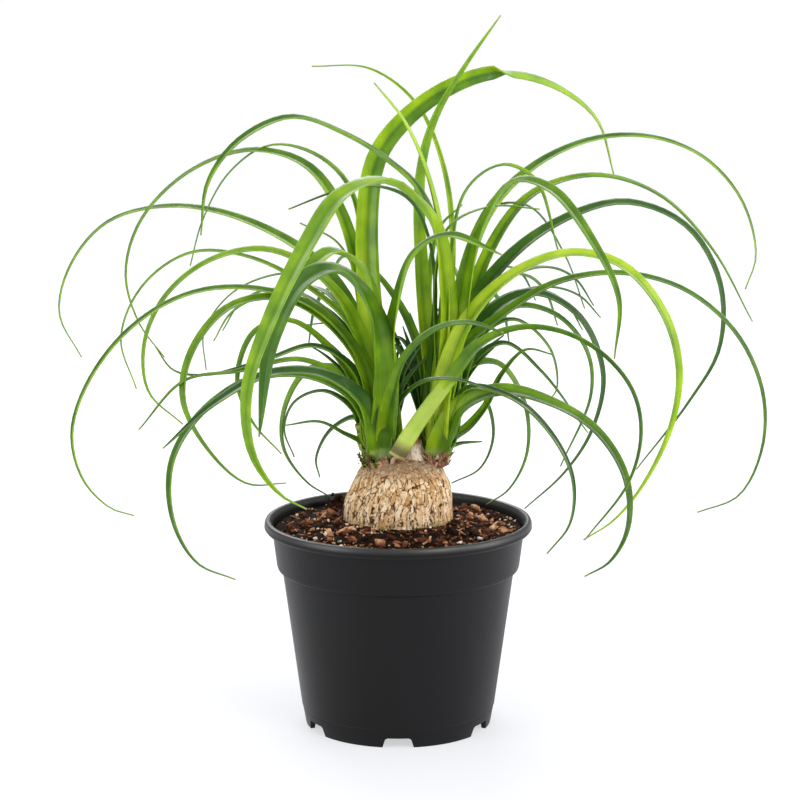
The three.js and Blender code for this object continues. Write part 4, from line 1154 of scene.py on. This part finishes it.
def bladeGreen(tree, layers, veins, under):
    # the green of a blade: its own tone, darker farther out, with painted shade on one half of its fold,
    # painted shade in the hollow along the midrib and a pale edge painted as light glowing through it
    tone, across = layers["tone"], layers["across"]
    place = addNode(tree, "TexCoord").outputs["Object"]
    mottle = addNode(tree, "TexNoise", {"Vector": place, "Scale": 60, "Detail": 2})  # 17 mm clouds
    soft = addNode(tree, "MapRange", {"Value": mottle, "From Min": 0.3, "From Max": 0.7, "To Min": -0.1,
        "To Max": 0.14})
    own = addNode(tree, "Math", {0: tone, 1: 0.68, 2: soft}, operation="MULTIPLY_ADD")
    far = addNode(tree, "MapRange", {"Value": layers["along"], "From Min": 0.05, "From Max": 0.6,
        "To Max": 0.33})
    grown = addNode(tree, "Math", {0: own, 1: far}, operation="ADD")
    # painted light and shade on the fold: one half of the blade lighter, the other darker, the side
    # differing from leaf to leaf
    leafTurn = addNode(tree, "Math", {0: tone, 1: 47}, operation="MULTIPLY")
    paintedShadeSide = addNode(tree, "Math", {0: leafTurn}, operation="SINE")  # differs from leaf to leaf
    half = addNode(tree, "MapRange", {"Value": across, "From Min": -0.15, "From Max": 0.15,
        "To Min": -0.15, "To Max": 0.15})
    paintedShadeUncut = addNode(tree, "MapRange", {"Value": layers["cut"], "To Min": paintedShadeSide, "To Max": 0})
    paintedFoldShade = addNode(tree, "Math", {0: half, 1: paintedShadeUncut}, operation="MULTIPLY")
    level = addNode(tree, "Math", {0: grown, 1: paintedFoldShade}, operation="ADD")
    upperStops = [(0, "#d2e844"), (0.25, "#aed020"), (0.5, "#7eaa1c"), (0.75, "#4e7c1e"), (1, "#2e5a1e")]
    underStops = [(0, "#d0e670"), (0.25, "#b4d650"), (0.5, "#90ba48"), (0.75, "#76a45a"), (1, "#5a8a50")]
    green = addNode(tree, "ValToRGB", {"Fac": level}, stops=underStops if under else upperStops)
    lift = addNode(tree, "MapRange", {"Value": veins, "From Min": -1, "To Min": 0.94, "To Max": 1.05})
    veined = addNode(tree, "VectorMath", {0: green, "Scale": lift}, operation="SCALE")
    fromMidrib = addNode(tree, "Math", {0: across}, operation="ABSOLUTE")
    # painted shade: darker green in the hollow along the midrib, strongest on the upper side
    paintedMidribShade = addNode(tree, "MapRange", {"Value": fromMidrib, "From Max": 0.4,
        "To Min": 0.05 if under else 0.4, "To Max": 0})
    withMidribShade = addNode(tree, "MixRGB", {"Fac": paintedMidribShade, "Color1": veined, "Color2": "#3d6a12"})
    # painted light: a pale margin for the light glowing through the blade's thin edge
    edge = addNode(tree, "MapRange", {"Value": fromMidrib, "From Min": 0.93, "To Max": 0.16})
    return addNode(tree, "MixRGB", {"Fac": edge, "Color1": withMidribShade, "Color2": "#b5d84a"})


def rootAndTip(tree, layers, blade):
    # pale at the sheath, stained where it clasps the stem, brown where a leaf was cut off and dry at the tip
    fromRoot, cut = layers["fromRoot"], layers["cut"]
    stained = addNode(tree, "MapRange", {"Value": fromRoot, "From Min": 5.5, "From Max": 2.5})
    sheath = addNode(tree, "MixRGB", {"Fac": stained, "Color1": "#c6cc94", "Color2": "#8a6f5c"})
    browned = addNode(tree, "MapRange", {"Value": fromRoot, "From Min": 1.6, "From Max": 2.2})
    cutColour = addNode(tree, "MixRGB", {"Fac": browned, "Color1": "#e8dc96", "Color2": "#85755a"})
    rootColour = addNode(tree, "MixRGB", {"Fac": cut, "Color1": sheath, "Color2": cutColour})
    near = addNode(tree, "MapRange", {"Value": fromRoot, "From Min": 12, "From Max": 5})
    most = addNode(tree, "MapRange", {"Value": cut, "To Min": 0.6, "To Max": 0.85})
    share = addNode(tree, "Math", {0: near, 1: most}, operation="MULTIPLY")
    rooted = addNode(tree, "MixRGB", {"Fac": share, "Color1": blade, "Color2": rootColour})
    dry = addNode(tree, "MapRange", {"Value": layers["along"], "From Min": 0.985, "From Max": 0.998})
    return addNode(tree, "MixRGB", {"Fac": dry, "Color1": rooted, "Color2": "#a8ac5c"})


def paintedSheen(tree, layers):
    # how much a painted sheen whitens a leaf: a painted reflection where it lies level and is seen at a
    # slant, in streaks
    facing = addNode(tree, "LayerWeight", {"Blend": 0.5}).outputs["Facing"]
    tilt = addNode(tree, "SeparateXYZ", {"Vector": addNode(tree, "NewGeometry").outputs["Normal"]})
    grazing = addNode(tree, "MapRange", {"Value": facing, "From Min": 0.2, "From Max": 0.85})
    upward = addNode(tree, "MapRange", {"Value": tilt.outputs["Z"], "From Min": 0.3, "From Max": 0.85})
    streakScale = 0.04  # 25 mm long streaks
    run = addNode(tree, "Math", {0: layers["fromRoot"], 1: streakScale}, operation="MULTIPLY")
    leafShift = addNode(tree, "Math", {0: layers["tone"], 1: 30}, operation="MULTIPLY")
    streakPlace = addNode(tree, "CombineXYZ", {"X": run, "Y": leafShift, "Z": layers["across"]})
    streak = addNode(tree, "TexNoise", {"Vector": streakPlace, "Scale": 1, "Detail": 1})
    patch = addNode(tree, "MapRange", {"Value": streak, "From Min": 0.35, "From Max": 0.65, "To Min": 0.25})
    paintedSheenMask = addNode(tree, "Math", {0: grazing, 1: upward}, operation="MULTIPLY")
    return addNode(tree, "Math", {0: paintedSheenMask, 1: patch}, operation="MULTIPLY")


def leafHeart():
    # the sheath core between the leaves, in deep shade
    return toned("leafHeart", [(0, "#22420f"), (0.5, "#345c16"), (1, "#4a7a20")], 0.5)


# Dried leaf bases round the heads, moss and the cut side shoot

litter = {
    "seed": 8,
    "scales": 60,  # round each head
    "scaleLength": (3, 10),
    "scaleWidth": (1.4, 5.5),
    "scaleLean": (-0.1, 0.5),
    "scaleCurl": (0.1, 1.2),
    "scaleSunk": (0, 2),
    "thickness": 0.3,
    "scaleRows": 7,
    "scaleCup": 0.45,
    "rings": {"left": 12.4, "right": 8.8},  # radius that they grow from
    "height": (165, 170.5),
    "tufts": 60,
    "tuftPlaces": (-25, -12, 166, 179),  # lowest and highest x and height of the moss at the left head
    "tuftRing": (11, 15),  # how far it lies before the head's middle, and half its width there
    "tuftDirection": (-2.6, -1.2),  # in radians from +X
    "tuftLength": (1.5, 4),
    "tuftWidth": (0.6, 1.6),
    "tuftLean": (0.1, 1.2),
    "tuftCurl": (0, 1),
    "shootPlace": (-18.5, 2, 175),
    "shootTilt": -0.3,
    "shootOutline": [(0, 0), (4.4, 0.2), (4.6, 3), (4.1, 3.6), (4.3, 6.4), (3.8, 7), (4.1, 10), (3.6, 10.6),
        (3.9, 14), (3.4, 14.6), (3.6, 18), (3.2, 19.6), (0, 20)],
}


def addScale(bm, layer, place, away, size, lean, curl, tone):
    # a pointed papery scale that clasps the stem and curls away from it
    side = away.cross(Vector((0, 0, 1)))
    rows = litter["scaleRows"]
    verts = bmesh.ops.create_grid(bm, x_segments=4, y_segments=rows, size=1)["verts"]
    faces = list({f for v in verts for f in v.link_faces})
    length, width = size
    step = length / rows
    spine = [Vector(place)]
    for i in range(rows):
        bend = lean + curl * (i / rows) ** 1.5
        spine.append(spine[-1] + (Vector((0, 0, math.cos(bend))) + away * math.sin(bend)) * step)
    for vert in verts:
        row = round((vert.co.y + 1) / 2 * rows)
        half = width / 2 * (1 - (row / rows) ** 2) ** 0.7 + 0.1
        x = vert.co.x
        vert.co = spine[row] + side * half * x - away * half * litter["scaleCup"] * x * x
        vert[layer] = tone
    bmesh.ops.recalc_face_normals(bm, faces=faces)
    bmesh.ops.solidify(bm, geom=faces, thickness=litter["thickness"])


def makeScales():
    draw = random.Random(litter["seed"])
    bm = bmesh.new()
    layer = bm.verts.layers.float.new("tone")
    for side, ring in litter["rings"].items():
        head = heads[side]
        for i in range(litter["scales"]):
            angle = 2 * math.pi * (i + draw.random()) / litter["scales"]
            away = Vector((math.cos(angle), math.sin(angle), 0))
            place = Vector((head["x"], head["y"], draw.uniform(*litter["height"])))
            place += away * (ring - draw.uniform(*litter["scaleSunk"]))
            size = (draw.uniform(*litter["scaleLength"]), draw.uniform(*litter["scaleWidth"]))
            lean, curl = draw.uniform(*litter["scaleLean"]), draw.uniform(*litter["scaleCurl"])
            addScale(bm, layer, place, away, size, lean, curl, draw.random())
    makePiece("driedScales", bm, [papery()])


def makeMoss():
    draw = random.Random(litter["seed"] + 1)
    bm = bmesh.new()
    layer = bm.verts.layers.float.new("tone")
    left, right, low, high = litter["tuftPlaces"]
    forward, wide = litter["tuftRing"]
    for i in range(litter["tufts"]):
        share = draw.random()
        x = blend(left, right, share)
        y = heads["left"]["y"] - forward * math.sqrt(max(0, 1 - ((x - heads["left"]["x"]) / wide) ** 2))
        place = Vector((x, y, blend(low, high, draw.random() * (1 - 0.6 * share))))
        angle = draw.uniform(*litter["tuftDirection"])
        away = Vector((math.cos(angle), math.sin(angle), 0))
        size = (draw.uniform(*litter["tuftLength"]), draw.uniform(*litter["tuftWidth"]))
        lean, curl = draw.uniform(*litter["tuftLean"]), draw.uniform(*litter["tuftCurl"])
        addScale(bm, layer, place, away, size, lean, curl, draw.random())
    makePiece("moss", bm, [mossGreen()])


def makeShoot():
    # the short shoot that was cut off beside the left head, ringed by its old leaf bases
    bm = bmesh.new()
    layer = bm.verts.layers.float.new("tone")
    spinOutline(bm, litter["shootOutline"], 32)
    for vert in bm.verts:
        radius = math.hypot(vert.co.x, vert.co.y)
        vert[layer] = 1 if radius < 3.85 - vert.co.z * 0.03 else 0
    turn = Matrix.Translation(litter["shootPlace"]) @ Matrix.Rotation(litter["shootTilt"], 4, "Y")
    bmesh.ops.transform(bm, matrix=turn, verts=bm.verts)
    makePiece("cutShoot", bm, [shootSkin()])


def toned(name, stops, roughness, grainScale=700):
    # a dry or mossy skin whose colour runs through the stops with each scrap's own tone
    material, tree = newMaterial(name)
    place = addNode(tree, "TexCoord").outputs["Object"]
    grain = addNode(tree, "TexNoise", {"Vector": place, "Scale": grainScale, "Detail": 3})
    tone = addNode(tree, "Attribute", attribute_name="tone").outputs["Fac"]
    level = addNode(tree, "Math", {0: grain, 1: 0.5, 2: tone}, operation="MULTIPLY_ADD")
    share = addNode(tree, "MapRange", {"Value": level, "From Min": 0.15, "From Max": 1.35})
    skin = addNode(tree, "ValToRGB", {"Fac": share}, stops=stops)
    shader = addNode(tree, "BsdfPrincipled", {"Base Color": skin, "Roughness": roughness,
        "Specular IOR Level": 0.2})
    addNode(tree, "OutputMaterial", {"Surface": shader})
    return material


def papery():
    # dead leaf bases: dry and papery, red-brown to straw
    stops = [(0, "#4a3020"), (0.35, "#835a44"), (0.65, "#b58c6c"), (1, "#e4cfb0")]
    return toned("driedLeafBase", stops, 0.85)


def mossGreen():
    # cushion moss
    return toned("cushionMoss", [(0, "#3a4d1c"), (0.5, "#5c7a2c"), (1, "#8fa848")], 0.9)


def shootSkin():
    # a green stem with brown rings where leaves were
    return toned("ringedStem", [(0, "#a9bd62"), (0.4, "#8fa54a"), (0.75, "#7d6a3a"), (1, "#5c4126")], 0.6)


makeHead("leftHead", "left", "crown_left")
makeHead("rightHead", "right", "crown_right")
makeScales()
makeMoss()
makeShoot()
print("leaves made")
